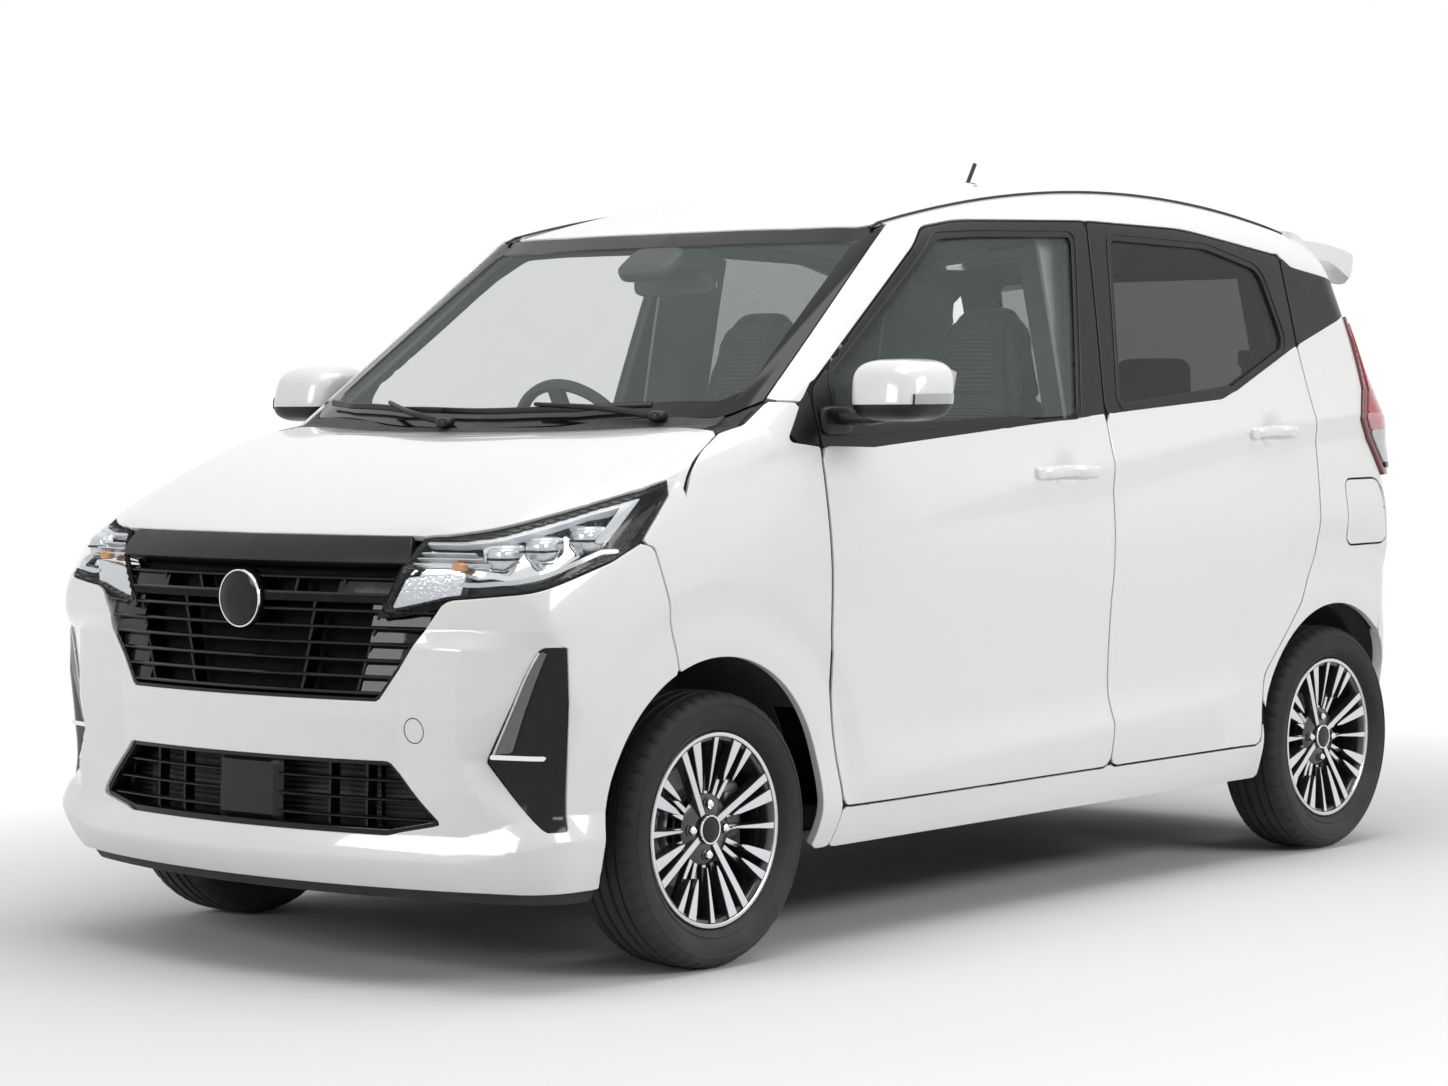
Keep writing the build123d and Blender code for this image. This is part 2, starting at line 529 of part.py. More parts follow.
    # Doors and their glass
    both("door_front", door(side_wall, side_middle, FRONT_DOOR, FRONT_WINDOW, -125, 955))
    both("door_rear", door(side_wall, side_middle, REAR_DOOR, REAR_WINDOW, -1015, 1030))
    both("door_front_glass", side_glass & prism(FRONT_WINDOW, "xz", 510, 800))
    both("door_rear_glass", side_glass & prism(REAR_WINDOW, "xz", 510, 800))
    arm = block(655, 700, 660, 800, 1070, 1092) - outer
    shell = block(588, 705, 782, 945, 1082, 1204)
    shell = fillet(shell.edges().filter_by(Axis.X), 30)
    both("mirror", shell + arm)

    # Floor
    floor = (block(-620, 862, -700, 700, 205, 225) - block(-620, 870, -90, 90, 200, 300)) & inner
    floor += block(-620, 862, -95, -90, 225, 300) + block(-620, 862, 90, 95, 225, 300)
    floor += block(-620, 862, -95, 95, 300, 305)
    floor += block(-640, -620, -640, 640, 205, 430) & inner
    for side in (-1, 1):
        floor -= across(FRONT_AXLE_X, ARCH_Z, ARCH_FRONT_R + 14, side * 400, side * 700)
    boot = block(-1625, -620, -460, 460, 420, 430) & inner
    boot += (block(-955, -620, -700, 700, 420, 430)) & inner
    boot += block(-1625, -1605, -560, 560, 300, 430) & inner
    rear_house = wheel_house(REAR_AXLE_X, ARCH_REAR_R, 460, 700, 350) & inner
    floor += boot + rear_house + mirrored(rear_house)
    floor += block(-960, -955, -700, -455, 300, 425) & inner
    floor += block(-960, -955, 455, 700, 300, 425) & inner
    tank = block(-1020, -650, -380, 380, 215, 405)
    save("floor_pan", floor)
    save("fuel_tank", fillet(tank.edges(), 20))

    # Running gear
    subframe = block(905, 1005, -330, 330, 205, 255) + rod((960, -330, 295), (960, 330, 295), 24)
    subframe += block(940, 980, -200, -160, 250, 290) + block(940, 980, 160, 200, 250, 290)
    for side in (-1, 1):
        arm_plan = [(1005, side * 290), (1053, side * 575), (1093, side * 575), (1115, side * 290)]
        subframe += prism(arm_plan, "xy", 163, 185)
        subframe += block(900, 1120, side * 310 - 25, side * 310 + 25, 160, 215)
        subframe += upright(KING_LOW[0], side * KING_LOW[1], 20, 163, 185)
    subframe += block(873, 905, -330, 330, 210, 250)
    save("front_subframe", subframe)
    knuckle = front_knuckle()
    both("knuckle", knuckle)
    beam = rod((-1080, -455, 290), (-1080, 455, 290), 34)
    for side in (-1, 1):
        beam += block(-1330, -925, side * 425 - 16, side * 425 + 16, 262, 312)
        beam += across(-925, 287, 30, side * 395, side * 455)
        beam += across(REAR_AXLE_X, TYRE_R, 36, side * 425, side * 575)
        beam += across(REAR_AXLE_X, TYRE_R, 105, side * 575, side * 582)
        beam += across(REAR_AXLE_X, TYRE_R, 14, side * 580, side * 655)
        beam += upright(-1170, side * 405, 46, 300, 419)
    save("rear_axle_beam", beam)
    front_wheel = Pos(FRONT_AXLE_X, FRONT_WHEEL_Y, TYRE_R) * wheel(118, -35, 17.3)
    rear_wheel = Pos(REAR_AXLE_X, REAR_WHEEL_Y, TYRE_R) * wheel(102, -55, 14.3)
    both("wheel_front", front_wheel)
    both("wheel_rear", rear_wheel)
    both("tyre_front", Pos(FRONT_AXLE_X, FRONT_WHEEL_Y, TYRE_R) * tyre())
    both("tyre_rear", Pos(REAR_AXLE_X, REAR_WHEEL_Y, TYRE_R) * tyre())
    save("engine_block", fillet(block(985, 1350, -300, 300, 262, 800).edges(), 25))
    save("radiator", block(1560, 1586, -300, 300, 300, 740))
    route = [(1000, 60, 176), (860, 0, 178), (-560, 0, 180), (-700, -230, 175), (-1060, -300, 178),
             (-1400, -300, 215)]
    pipe = tube_path(route, 20, 60)
    muffler = fillet(block(-1590, -1390, -440, -120, 180, 290).edges(), 25)
    save("exhaust", pipe + muffler + rod((-1580, -300, 212), (-1650, -300, 200), 18))

    # Cabin
    seat = prism(SEAT_SIDE, "xz", 110, 570) + prism(SEAT_BASE, "xz", 160, 520)
    seat += prism(HEADREST_SIDE, "xz", 215, 465)
    for y in (300, 380):
        seat += rod((-345, y, 1130), (-365, y, 1200), 7)
    pair("front_seats", seat)
    bench = prism(BENCH_SIDE, "xz", -570, 570) + block(-940, -645, -560, 560, 431, 480)
    for side in (-1, 1):
        bench += prism(BENCH_REST_SIDE, "xz", side * 290 - 115, side * 290 + 115)
        for off in (-40, 40):
            bench += rod((-1145, side * 290 + off, 1030), (-1146, side * 290 + off, 1090), 7)
    for side in (-1, 1):
        bench -= across(REAR_AXLE_X, ARCH_Z, ARCH_REAR_R + 14, side * 452, side * 700)
    save("rear_bench", bench)
    a = radians(STEER_TILT)
    towards = (-cos(a), 0, sin(a))
    centre = Vector(STEER_X, STEER_Y, STEER_Z)
    axis = Vector(*towards)
    column = rod(tuple(centre - axis * 40), tuple(centre - axis * 260), 42)
    column -= rod(tuple(centre - axis * 30), tuple(centre - axis * 110), 12.3)
    dash = (prism(DASH_SIDE, "xz", -640, 640) & body_form(END_WALL + 4, DOOR_LOW + 8, DOOR_LOW + 8)) + column
    save("dashboard", dash)
    plane = Plane(centre, x_dir=(0, 1, 0), z_dir=axis)
    grip = [(STEER_R + 14 * cos(radians(30 + 60 * k)), 14 * sin(radians(30 + 60 * k))) for k in range(6)]
    section = Plane(centre, x_dir=(0, 1, 0), z_dir=(sin(a), 0, cos(a)))
    rim = revolve(section * make_face(Polyline(*grip, close=True)), Axis(tuple(centre), towards))
    hub = extrude(plane * Circle(62), amount=-32)
    wheel_bar = extrude(plane * Rectangle(2 * STEER_R, 36), amount=-16)
    lower_bar = extrude(plane * (Pos(0, -STEER_R / 2) * Rectangle(40, STEER_R)), amount=-16)
    shaft = extrude(plane * Circle(12), amount=-100)
    save("steering_wheel", rim + hub + wheel_bar + lower_bar + shaft)

    # Small outside pieces
    aerial = rod((-742, 0, 1612), (-752, 0, 1640), 16) + rod((-750, 0, 1634), (-792, 0, 1699), 5)
    save("antenna", aerial - outer)


def nose_at(z):
    """Foremost x of the body at a height."""
    for low, high in zip(PLAN, PLAN[1:]):
        if z <= high[0]:
            return low[1] + (high[1] - low[1]) * (z - low[0]) / (high[0] - low[0])
    return PLAN[-1][1]


def nose_layer(low, high, inset, depth, half):
    """Band behind the curved nose, between two heights and two distances inwards."""
    wires = []
    for z in (low, high):
        x = nose_at(z)
        arcs = []
        for back in (inset, depth):
            r = NOSE_R - back
            end = x - NOSE_R + sqrt(r ** 2 - half ** 2)
            arcs.append(((end, -half, z), (x - back, 0, z), (end, half, z)))
        wires.append(Wire([
            ThreePointArc(*arcs[0]), Line(arcs[0][2], arcs[1][2]),
            ThreePointArc(*reversed(arcs[1])), Line(arcs[1][0], arcs[0][0]),
        ]))
    return Solid.make_loft(wires, ruled=True)


def slatted(outline, low, high, inset, depth, rim, slats, slat_t, posts):
    """Grille inside a front outline: a ring, level slats that follow the nose, and posts."""
    opening = prism(outline, "yz", 1400, 1760)
    half = max(abs(point[0]) for point in outline) + 5
    ring = opening - prism(grown(outline, -rim), "yz", 1390, 1770)
    pieces = []
    for z in slats:
        pieces.append(nose_layer(z - slat_t / 2, z + slat_t / 2, inset + 2, depth - 4, half) & opening)
    back = nose_layer(low, high, depth - 16, depth - 2, half) & opening
    pieces += [back & block(1400, 1760, y - 4, y + 4, low, high) for y in posts]
    return (nose_layer(low, high, inset, depth, half) & ring), pieces


def upper_grille():
    """Satin bar across the top of a V-shaped slatted grille."""
    slats = [582 + 34 * k for k in range(7)]
    ring, pieces = slatted(GRILLE_FRONT, 548, 872, 8, 42, 9, slats, 12, (-300, -150, 0, 150, 300))
    bar = nose_layer(818, 869, 1, 45, 480) & prism(GRILLE_FRONT, "yz", 1400, 1760)
    return ring.fuse(bar, *pieces)


def lower_grille():
    """Ring, level bars, uprights and a plain square panel in the lower intake."""
    ring, pieces = slatted(INTAKE_FRONT, 290, 442, 12, 36, 8, [330, 366, 402], 9, (-250, 250))
    return ring.fuse(nose_layer(297, 437, 14, 30, 84) & prism(INTAKE_FRONT, "yz", 1400, 1760), *pieces)


def front_knuckle():
    """Left knuckle with its strut, spring, stub axle, steering arm and brake caliper."""
    x, z = FRONT_AXLE_X, TYRE_R
    piece = rod(king_at(340), king_at(820), 24) + rod(king_at(590), king_at(770), 54)
    piece += block(x - 28, x + 28, 550, 602, 215, 380)
    piece += rod(king_at(188), king_at(230), 13)
    piece += across(x, z, 42, 556, 608) + across(x, z, 17, 600, 665)
    piece += block(x - 120, x - 20, 556, 574, 232, 252)
    pads = block(x - 150, x - 92, 594, 652, z - 45, z + 45) - block(x - 140, x - 60, 610, 632, z - 60, z + 60)
    piece += pads + block(x - 130, x - 20, 588, 602, z - 30, z + 30)
    return piece


if __name__ == "__main__":
    main()
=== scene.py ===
"""Surfaces and finishes of a small five-door car, laid over its fixed frame.

Metres. X points forward, Y to the car's left and Z up. The origin is on the
ground, midway along and across the car.
"""

import bpy
import numpy as np
from bpy.props import FloatProperty, FloatVectorProperty, PointerProperty
from mathutils import Matrix


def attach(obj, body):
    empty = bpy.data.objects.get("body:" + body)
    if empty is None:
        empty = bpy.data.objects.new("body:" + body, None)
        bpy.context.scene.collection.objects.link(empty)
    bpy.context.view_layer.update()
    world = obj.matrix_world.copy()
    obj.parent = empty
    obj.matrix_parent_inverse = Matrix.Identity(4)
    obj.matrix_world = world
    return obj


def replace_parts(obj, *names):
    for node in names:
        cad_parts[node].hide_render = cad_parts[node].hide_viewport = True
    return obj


bl_info = {
    "name": "Kei Car Dressing",
    "version": (1, 0, 0),
    "blender": (4, 5, 0),
    "location": "3D View > Sidebar > Kei Car",
    "description": "Panels, glass, lamps, wheels and cabin of a small car over its frame",
    "category": "Object",
}

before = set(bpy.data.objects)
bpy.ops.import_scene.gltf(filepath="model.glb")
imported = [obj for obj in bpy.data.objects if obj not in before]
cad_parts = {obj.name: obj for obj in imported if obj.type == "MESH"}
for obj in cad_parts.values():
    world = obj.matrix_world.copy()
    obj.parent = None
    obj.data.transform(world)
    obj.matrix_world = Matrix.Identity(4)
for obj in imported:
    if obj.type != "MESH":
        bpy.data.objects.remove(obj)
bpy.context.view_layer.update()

MM = 0.001
PHOTO_WIDTH = 1448
PHOTO_HEIGHT = 1086
FOCAL_PIXELS = 3657
OPTICAL_CENTRE = (745, 521)

# Body outline seen from above.
# columns: height, nose x, tail x, half width, front corner radius, rear corner radius
PLAN = MM * np.array([
    (150, 1630, -1640, 672, 70, 80),
    (230, 1683, -1676, 706, 70, 90),
    (272, 1697.5, -1690, 715, 70, 90),
    (430, 1686, -1697.5, 724, 70, 90),
    (620, 1676, -1697.5, 735, 70, 90),
    (820, 1667, -1697, 737.5, 75, 85),
    (920, 1650, -1696, 727, 80, 80),
    (1040, 1640, -1690, 709, 90, 80),
    (1110, 1640, -1670, 698, 90, 90),
    (1320, 1640, -1606, 659, 100, 110),
    (1500, 1640, -1545, 622, 100, 120),
    (1700, 1640, -1470, 581, 100, 120),
])
NOSE_R = 1.9
TAIL_R = 2.6
NOSE_CENTRE = 1.05
TAIL_CENTRE = -1.15

# Body outline seen from the side, at a few distances from the middle.
# columns: y, nose z, lip x, z, bonnet middle x, z, cowl x, z, header x, z,
#          roof middle x, z, roof rear x, z, tail z
SIDE = MM * np.array([
    (0, 800, 1630, 871, 1360, 1005, 1035, 1060, 365, 1498, -400, 1632, -1300, 1578, 1474),
    (330, 795, 1612, 866, 1350, 1003, 1010, 1064, 348, 1498, -400, 1622, -1300, 1569, 1467),
    (500, 770, 1570, 868, 1330, 985, 960, 1072, 325, 1497, -400, 1604, -1300, 1546, 1446),
    (590, 720, 1520, 868, 1310, 965, 920, 1076, 306, 1491, -400, 1566, -1300, 1508, 1412),
    (650, 660, 1470, 850, 1290, 945, 890, 1072, 292, 1452, -400, 1515, -1300, 1458, 1370),
    (700, 560, 1400, 820, 1260, 905, 850, 1042, 280, 1390, -400, 1440, -1300, 1385, 1300),
    (745, 400, 1300, 640, 1200, 730, 820, 880, 270, 1270, -400, 1300, -1300, 1250, 1170),
])
HANDLE_SPOTS = ((-0.122, 0.955), (-1.012, 1.032))
FRONT_END = 1.78
REAR_END = -1.80

ARCH_Z = 0.286
FRONT_AXLE = 1.073
REAR_AXLE = -1.285
WHEEL_Y = {"front": 0.650, "rear": 0.645}
TYRE_R = 0.275
ARCH_R = {"front": 0.335, "rear": 0.323}
FLARE_R = {"front": 0.484, "rear": 0.530}

# Outlines in millimetres with corner radii: side views (x, z), front views (y, z), plans (x, y)
FRONT_DOOR = [
    (664, 283, 25), (700, 450, 200), (722, 640, 300), (722, 1030, 60), (727, 1140, 60),
    (232, 1494, 90), (100, 1513, 600), (-376, 1524, 12), (-322, 1091, 0), (-316, 900, 0),
    (-298, 665, 0), (-314, 283, 25),
]
REAR_DOOR = [
    (-314, 283, 25), (-298, 665, 0), (-316, 900, 0), (-322, 1091, 0), (-376, 1524, 12),
    (-780, 1516, 900), (-1192, 1463, 20), (-1203, 1245, 60), (-1225, 1036, 60),
    (-1203, 745, 120), (-1128, 618, 60), (-968, 450, 60), (-950, 283, 25),
]
FRONT_WINDOW = [
    (652, 1064, 12), (652, 1160, 25), (200, 1470, 60), (60, 1478, 300), (-304, 1486, 14),
    (-212, 1088, 14),
]
REAR_WINDOW = [
    (-391, 1106, 14), (-460, 1484, 14), (-860, 1473, 300), (-1085, 1425, 60),
    (-1140, 1262, 40), (-1130, 1236, 20), (-880, 1146, 80),
]
BLACK_ZONE = [
    (900, 1028), (727, 1028), (545, 1022, 40), (-317, 1082), (-820, 1112, 100), (-915, 1141, 60),
    (-1192, 1238, 0), (-1456, 1316), (-1620, 1316), (-1620, 1398), (-1476, 1404), (-1240, 1437),
    (-1196, 1464), (-1196, 1620), (900, 1620),
]
CORNER_BLACK = [(819, 1043, 6), (700, 1026), (700, 1170), (752, 1123, 8)]
FLAP = [(-1345, 748, 26), (-1525, 748, 30), (-1528, 800, 60), (-1505, 912, 40), (-1338, 912, 22)]
BONNET_PLAN = [
    (1760, -760), (969, -760), (969, -620, 60), (1038, -180, 600), (1038, 180, 600),
    (969, 620, 60), (969, 760), (1760, 760),
]
LAMP_SIDE = [
    (1152, 975), (1574, 869), (1760, 869), (1760, 722), (1636, 722), (1602, 752),
    (1360, 820, 60), (1283, 851, 10),
]
LAMP_FRONT = [(447, 900), (360, 722), (360, 700), (800, 700), (800, 1000), (447, 1000)]
FENDER_SIDE = [
    (690, 200), (667, 283), (703, 450, 200), (725, 640, 300), (725, 1029), (815, 1040, 6),
    (750, 1115, 6), (753, 1119), (846, 1125), (940, 1150), (1160, 1020), (1280, 850),
    (1250, 841), (1196, 586), (1190, 200),
]
BUMPER_SIDE = [
    (1192, 190), (1198, 586), (1252, 841), (1283, 850), (1360, 817, 60), (1602, 749),
    (1760, 749), (1760, 190),
]
GRILLE_FRONT = [
    (-353, 551, 14), (353, 551, 14), (499, 750, 6), (362, 722, 0), (447, 869, 6),
    (-447, 869, 6), (-362, 722, 0), (-499, 750, 6),
]
INTAKE_FRONT = [
    (-373, 439, 12), (373, 439, 12), (493, 319, 10), (367, 295, 40), (-367, 295, 40),
    (-493, 319, 10),
]
BEZEL_FRONT = [(690, 662, 4), (719, 664, 3), (719, 312, 3), (693, 312, 6), (587, 443, 5)]
FRAME_SIDE = [
    (690, 200), (667, 283), (703, 450, 200), (725, 640, 300), (725, 1032), (819, 1043), (753, 1120),
    (846, 1126), (1000, 1135), (1000, 1760), (-1402, 1760), (-1402, 1555), (-1490, 1402),
    (-1522, 1317), (-1472, 1317), (-1479, 1264), (-1471, 1133), (-1433, 1060), (-1476, 992),
    (-1516, 917), (-1542, 744), (-1502, 605), (-1495, 200),
]
FRAME_PLAN = [
    (1020, 800), (1020, 676), (824, 641), (306, 563), (288, 527), (-1396, 527),
    (-1412, 578), (-1760, 578), (-1760, 800),
]
ROOF_PLAN = [
    (288, -527), (325, -500), (348, -330), (362, 0), (348, 330), (325, 500), (288, 527),
    (-1397, 527), (-1397, -527),
]
SCREEN_PLAN = [
    (306, -563), (288, -527), (325, -500), (348, -330), (362, 0), (348, 330),
    (325, 500), (288, 527), (306, 563), (824, 641), (905, 590, 80), (1005, 250, 500),
    (1022, 0), (1005, -250, 500), (905, -590, 80), (824, -641),
]
TAILGATE_REAR = [
    (-540, 640, 40), (540, 640, 40), (560, 900, 200), (571, 1320, 200), (571, 1420, 30),
    (522, 1500, 30), (522, 1760), (-522, 1760), (-522, 1500, 30), (-571, 1420, 30),
    (-571, 1320, 200), (-560, 900, 200),
]
TAIL_WINDOW = [(-505, 1075, 40), (505, 1075, 40), (478, 1452, 50), (-478, 1452, 50)]
TAIL_LAMP_SIDE = [
    (-1516, 917), (-1476, 992), (-1433, 1060), (-1471, 1133), (-1479, 1264), (-1472, 1316), (-1760, 1316),
    (-1760, 917),
]
REAR_BUMPER_SIDE = [
    (-1499, 200), (-1506, 605), (-1546, 744), (-1600, 913), (-1760, 913), (-1760, 200),
]


def eased(table, x):
    """Smooth curve through a table: cubic pieces whose slopes are the neighbours' weighted mean."""
    xs, ys = table[:, 0], table[:, 1:]
    step = np.diff(xs)[:, None]
    slope = np.diff(ys, axis=0) / step
    inner = (slope[:-1] * step[1:] + slope[1:] * step[:-1]) / (step[:-1] + step[1:])
    tangent = np.vstack([slope[:1], inner, slope[-1:]])
    i = np.clip(np.searchsorted(xs, x) - 1, 0, len(xs) - 2)
    w = step[i]
    t = np.clip((x - xs[i])[:, None] / w, 0.0, 1.0)
    a, b = ys[i], ys[i + 1]
    return (
        (1 + 2 * t) * (1 - t) ** 2 * a + t * (1 - t) ** 2 * w * tangent[i]
        + t**2 * (3 - 2 * t) * b - t**2 * (1 - t) * w * tangent[i + 1]
    )


def through(x0, z0, x1, z1, x2, z2, x):
    """Parabola through three points of a side view, read at x."""
    first = (z1 - z0) / (x1 - x0)
    second = ((z2 - z1) / (x2 - x1) - first) / (x2 - x0)
    return z0 + (x - x0) * (first + second * (x - x1))


def round_max(a, b, r):
    """Larger of two distances, with the corner between them rounded to a radius."""
    return np.minimum(np.maximum(a + r, b + r), 0) + np.hypot(np.maximum(a + r, 0), np.maximum(b + r, 0)) - r


def ramp(x, start, end):
    """Smooth step from 0 at start to 1 at end."""
    t = np.clip((x - start) / (end - start), 0, 1)
    return t * t * (3 - 2 * t)


def top_height(x, y):
    """Height of bonnet, windscreen and roof: straight and bowed runs, joined by rounded corners."""
    row = eased(SIDE, np.abs(y))
    nose_z, lx, lz, bx, bz, cx, cz, hx, hz, mx, mz, rx, rz, tz = row.T
    bonnet = through(lx, lz, bx, bz, cx, cz, x)
    screen = cz + (cx - x) * (hz - cz) / (cx - hx)
    roof = through(hx, hz, mx, mz, rx, rz, np.minimum(x, hx + 0.3))
    nose = lz + (x - lx) * (nose_z - lz) / (FRONT_END - lx) + 1.5 * np.clip(lx - x, 0, None)
    tail = rz + (rx - x) * (tz - rz) / (rx - REAR_END)
    height = np.maximum(bonnet, screen)
    height = -round_max(-height, -roof, 0.02)
    height = -round_max(-height, -nose, 0.03)
    return -round_max(-height, -tail, 0.03)


def plan_distance(x, y, z):
    """Distance outside the plan outline at a height: nose and tail arcs, sides, rounded corners."""
    nose, tail, half, front_r, rear_r = eased(PLAN, z).T
    front = np.hypot(x - nose + NOSE_R, y) - NOSE_R
    rear = np.hypot(x - tail - TAIL_R, y) - TAIL_R
    side = np.abs(y) - half
    return np.maximum(round_max(front, side, front_r), round_max(rear, side, rear_r))


def plain_nose(z):
    """Plan angle and half width along the plain nose outline at a height."""
    angle = np.radians(np.linspace(0, 84, 169))
    near, far = np.full(169, 0.3), np.full(169, 1.2)
    for _ in range(30):
        mid = 0.5 * (near + far)
        out = plan_distance(NOSE_CENTRE + mid * np.cos(angle), mid * np.sin(angle), np.full(169, z)) > 0
        near, far = np.where(out, near, mid), np.where(out, mid, far)
    return angle, near * np.sin(angle)


NOSE_ANGLE, NOSE_Y = plain_nose(0.48)


def crease_height(x):
    """Height of the shoulder crease along the side, and of the lower edge of the facet under it."""
    crease = np.interp(x, MM * np.array([-1700, -1385, -1184, -892, -295, -9, 649]),
                       MM * np.array([1052, 1070, 1055, 1036, 967, 937, 837]))
    lower = np.interp(x, MM * np.array([-1700, -1400, -1170, -903, -303, 649]),
                      MM * np.array([1000, 1009, 1005, 986, 906, 829]))
    return crease, lower


def sill_crease(x):
    """Height of the lower door crease, which rises towards the rear."""
    return np.interp(x, MM * np.array([-882, -279, 654]), MM * np.array([418, 381, 327]))


def side_relief(x, z):
    """How far the pressed forms of the side stand proud of the plain body."""
    crease, lower = crease_height(x)
    above = np.clip(1 - (z - crease) / 0.19, 0, 1) ** 2
    below = np.clip(1 - (crease - z) / (crease - lower), 0, 1)
    strength = 0.0125 * ramp(-x, -0.62, 0.15)
    relief = strength * np.where(z > crease, above, below)
    sill = sill_crease(x)
    rocker = np.clip(1 - (z - sill) / 0.10, 0, 1) ** 1.5
    under = np.clip(1 - (sill - z) / 0.10, 0, 1)
    between = ramp(x, -1.02, -0.80) * ramp(-x, -0.70, -0.45)
    relief += 0.013 * between * np.where(z > sill, rocker, under)
    relief -= 0.010 * between * ramp(z, 0.36, 0.46) * ramp(-z, -0.74, -0.52)
    for end, axle in (("front", FRONT_AXLE), ("rear", REAR_AXLE)):
        r = np.hypot(x - axle, z - ARCH_Z)
        flare, edge = FLARE_R[end], ARCH_R[end]
        dip = np.clip((flare - r) / 0.045, 0, 1)
        relief -= 0.0095 * dip * ramp(z, 0.26, 0.40)
        relief += 0.008 * ramp(-r, -(edge + 0.10), -(edge + 0.02)) * ramp(z, 0.2, 0.3)
    for mid_x, mid_z in HANDLE_SPOTS:
        r = np.hypot((x - mid_x) / 0.050, (z - mid_z) / 0.041)
        relief -= 0.015 * np.clip(1 - r**2, 0, 1) ** 0.8
    band = np.interp(x, MM * np.array([756, 1178]), MM * np.array([1018, 968]))
    relief += 0.005 * ramp(x, 0.70, 0.80) * ramp(-x, -1.22, -1.12) * np.where(
        z > band, np.clip(1 - (z - band) / 0.08, 0, 1) ** 2, np.clip(1 - (band - z) / 0.022, 0, 1))
    return relief


def across_nose(x, y):
    """Distance from the middle on the plain outline, read from the plan angle about the nose's centre."""
    angle = np.arctan2(np.abs(y), np.maximum(x - NOSE_CENTRE, 1e-6))
    return np.interp(angle, NOSE_ANGLE, NOSE_Y)


def front_relief(x, y, z):
    """Pressed forms of the nose: lower lip, shelf over it, and the ridge beside each lamp pocket."""
    a = across_nose(x, y)
    level = z - 0.045 * ramp(a, 0.50, 0.72)
    lip = np.interp(level, [0.17, 0.19, 0.245, 0.298, 0.33, 0.45, 0.52],
                    [-0.006, -0.004, 0.0, -0.026, -0.024, -0.010, 0.0])
    inner = np.interp(z, [0.312, 0.443, 0.662], [0.693, 0.587, 0.690])
    peak = np.interp(z, [0.31, 0.452, 0.66], [0.60, 0.525, 0.535])
    rise = np.clip((a - 0.40) / (peak - 0.40), 0, 1)
    fall = np.clip((a - peak) / (inner - peak), 0, 1)
    past = np.clip((a - inner) / (0.735 - inner), 0, 1)
    ridge = 0.024 * rise * (1 - fall) - 0.014 * fall * (1 - past)
    window = np.clip((0.690 - z) / 0.03, 0, 1) * ramp(z, 0.30, 0.40)
    return lip + ridge * window


def bonnet_relief(x, y):
    """Crease that runs from each headlamp to the rear corner of the bonnet."""
    line = np.interp(x, [0.97, 1.574], [0.600, 0.430])
    off = np.hypot(np.abs(y) - line, 0.014)
    return 0.006 * np.clip(1 - off / 0.15, 0, 1) ** 2 * ramp(x, 0.93, 1.05)


def body_field(p):
    """Signed distance to the painted body: plan outline and roof line met at a rounded shoulder."""
    x, y, z = p.T
    around = plan_distance(x, y, z)
    above = 0.92 * (z - top_height(x, y))
    base = round_max(around, above, 0.045)
    flank = ramp(np.abs(y), 0.60, 0.66)
    nose = ramp(x, 1.36, 1.50)
    relief = flank * (1 - nose) * side_relief(x, z) + nose * front_relief(x, y, z)
    relief += (1 - flank) * ramp(z, 0.84, 0.90) * bonnet_relief(x, y)
    return base - relief


def normals_at(p):
    """Outward unit normals of the body: the slope of its signed distance."""
    h = 0.0025
    steps = np.eye(3) * h
    slope = np.stack([body_field(p + s) - body_field(p - s) for s in steps], axis=1)
    return slope / np.linalg.norm(slope, axis=1, keepdims=True)


def cast(origin, direction, near, far):
    """Point where each ray leaves the body, by false position on the signed distance."""
    a, b = np.full(len(origin), near), np.full(len(origin), far)
    fa = body_field(origin + direction * a[:, None])
    fb = body_field(origin + direction * b[:, None])
    valid = (fa < 0) & (fb > 0)
    fa, fb = np.minimum(fa, -1e-9), np.maximum(fb, 1e-9)
    side = np.zeros(len(origin))
    for _ in range(11):
        c = (a * fb - b * fa) / (fb - fa)
        fc = body_field(origin + direction * c[:, None])
        low = fc < 0
        fb = np.where(low & (side == -1), fb / 2, fb)
        fa = np.where(~low & (side == 1), fa / 2, fa)
        a, fa = np.where(low, c, a), np.where(low, fc, fa)
        b, fb = np.where(low, b, c), np.where(low, fb, fc)
        side = np.where(low, -1, 1)
    c = (a * fb - b * fa) / (fb - fa)
    return origin + direction * c[:, None], valid


def from_side(u, v):
    """Left side of the body over (x, level); rows follow the creases of the side."""
    crease, lower = crease_height(u)
    sill = sill_crease(u)
    levels = np.stack([np.full_like(u, 0.14), sill, np.full_like(u, 0.46), np.full_like(u, 0.74),
                       lower, crease, np.full_like(u, 1.25), np.full_like(u, 1.64)], axis=1)
    k = np.clip(v.astype(int), 0, levels.shape[1] - 2)
    rows = np.arange(len(u))
    z = levels[rows, k] + (v - k) * (levels[rows, k + 1] - levels[rows, k])
    origin = np.stack([u, np.zeros_like(u), z], axis=1)
    return cast(origin, np.array([[0.0, 1.0, 0.0]]), 0.0, 0.95)


def fan(u, v):
    """Left side and shoulder of the body over (x, angle in degrees), seen from a line inside the body."""
    angle = np.radians(v)
    origin = np.stack([u, np.full_like(u, 0.20), np.full_like(u, 0.88)], axis=1)
    return cast(origin, np.stack([0 * u, np.cos(angle), np.sin(angle)], axis=1), 0.0, 1.1)


def from_top(u, v):
    """Upper side of the body over (x, y)."""
    origin = np.stack([u, v, np.full_like(u, 0.5)], axis=1)
    return cast(origin, np.array([[0.0, 0.0, 1.0]]), 0.0, 1.3)


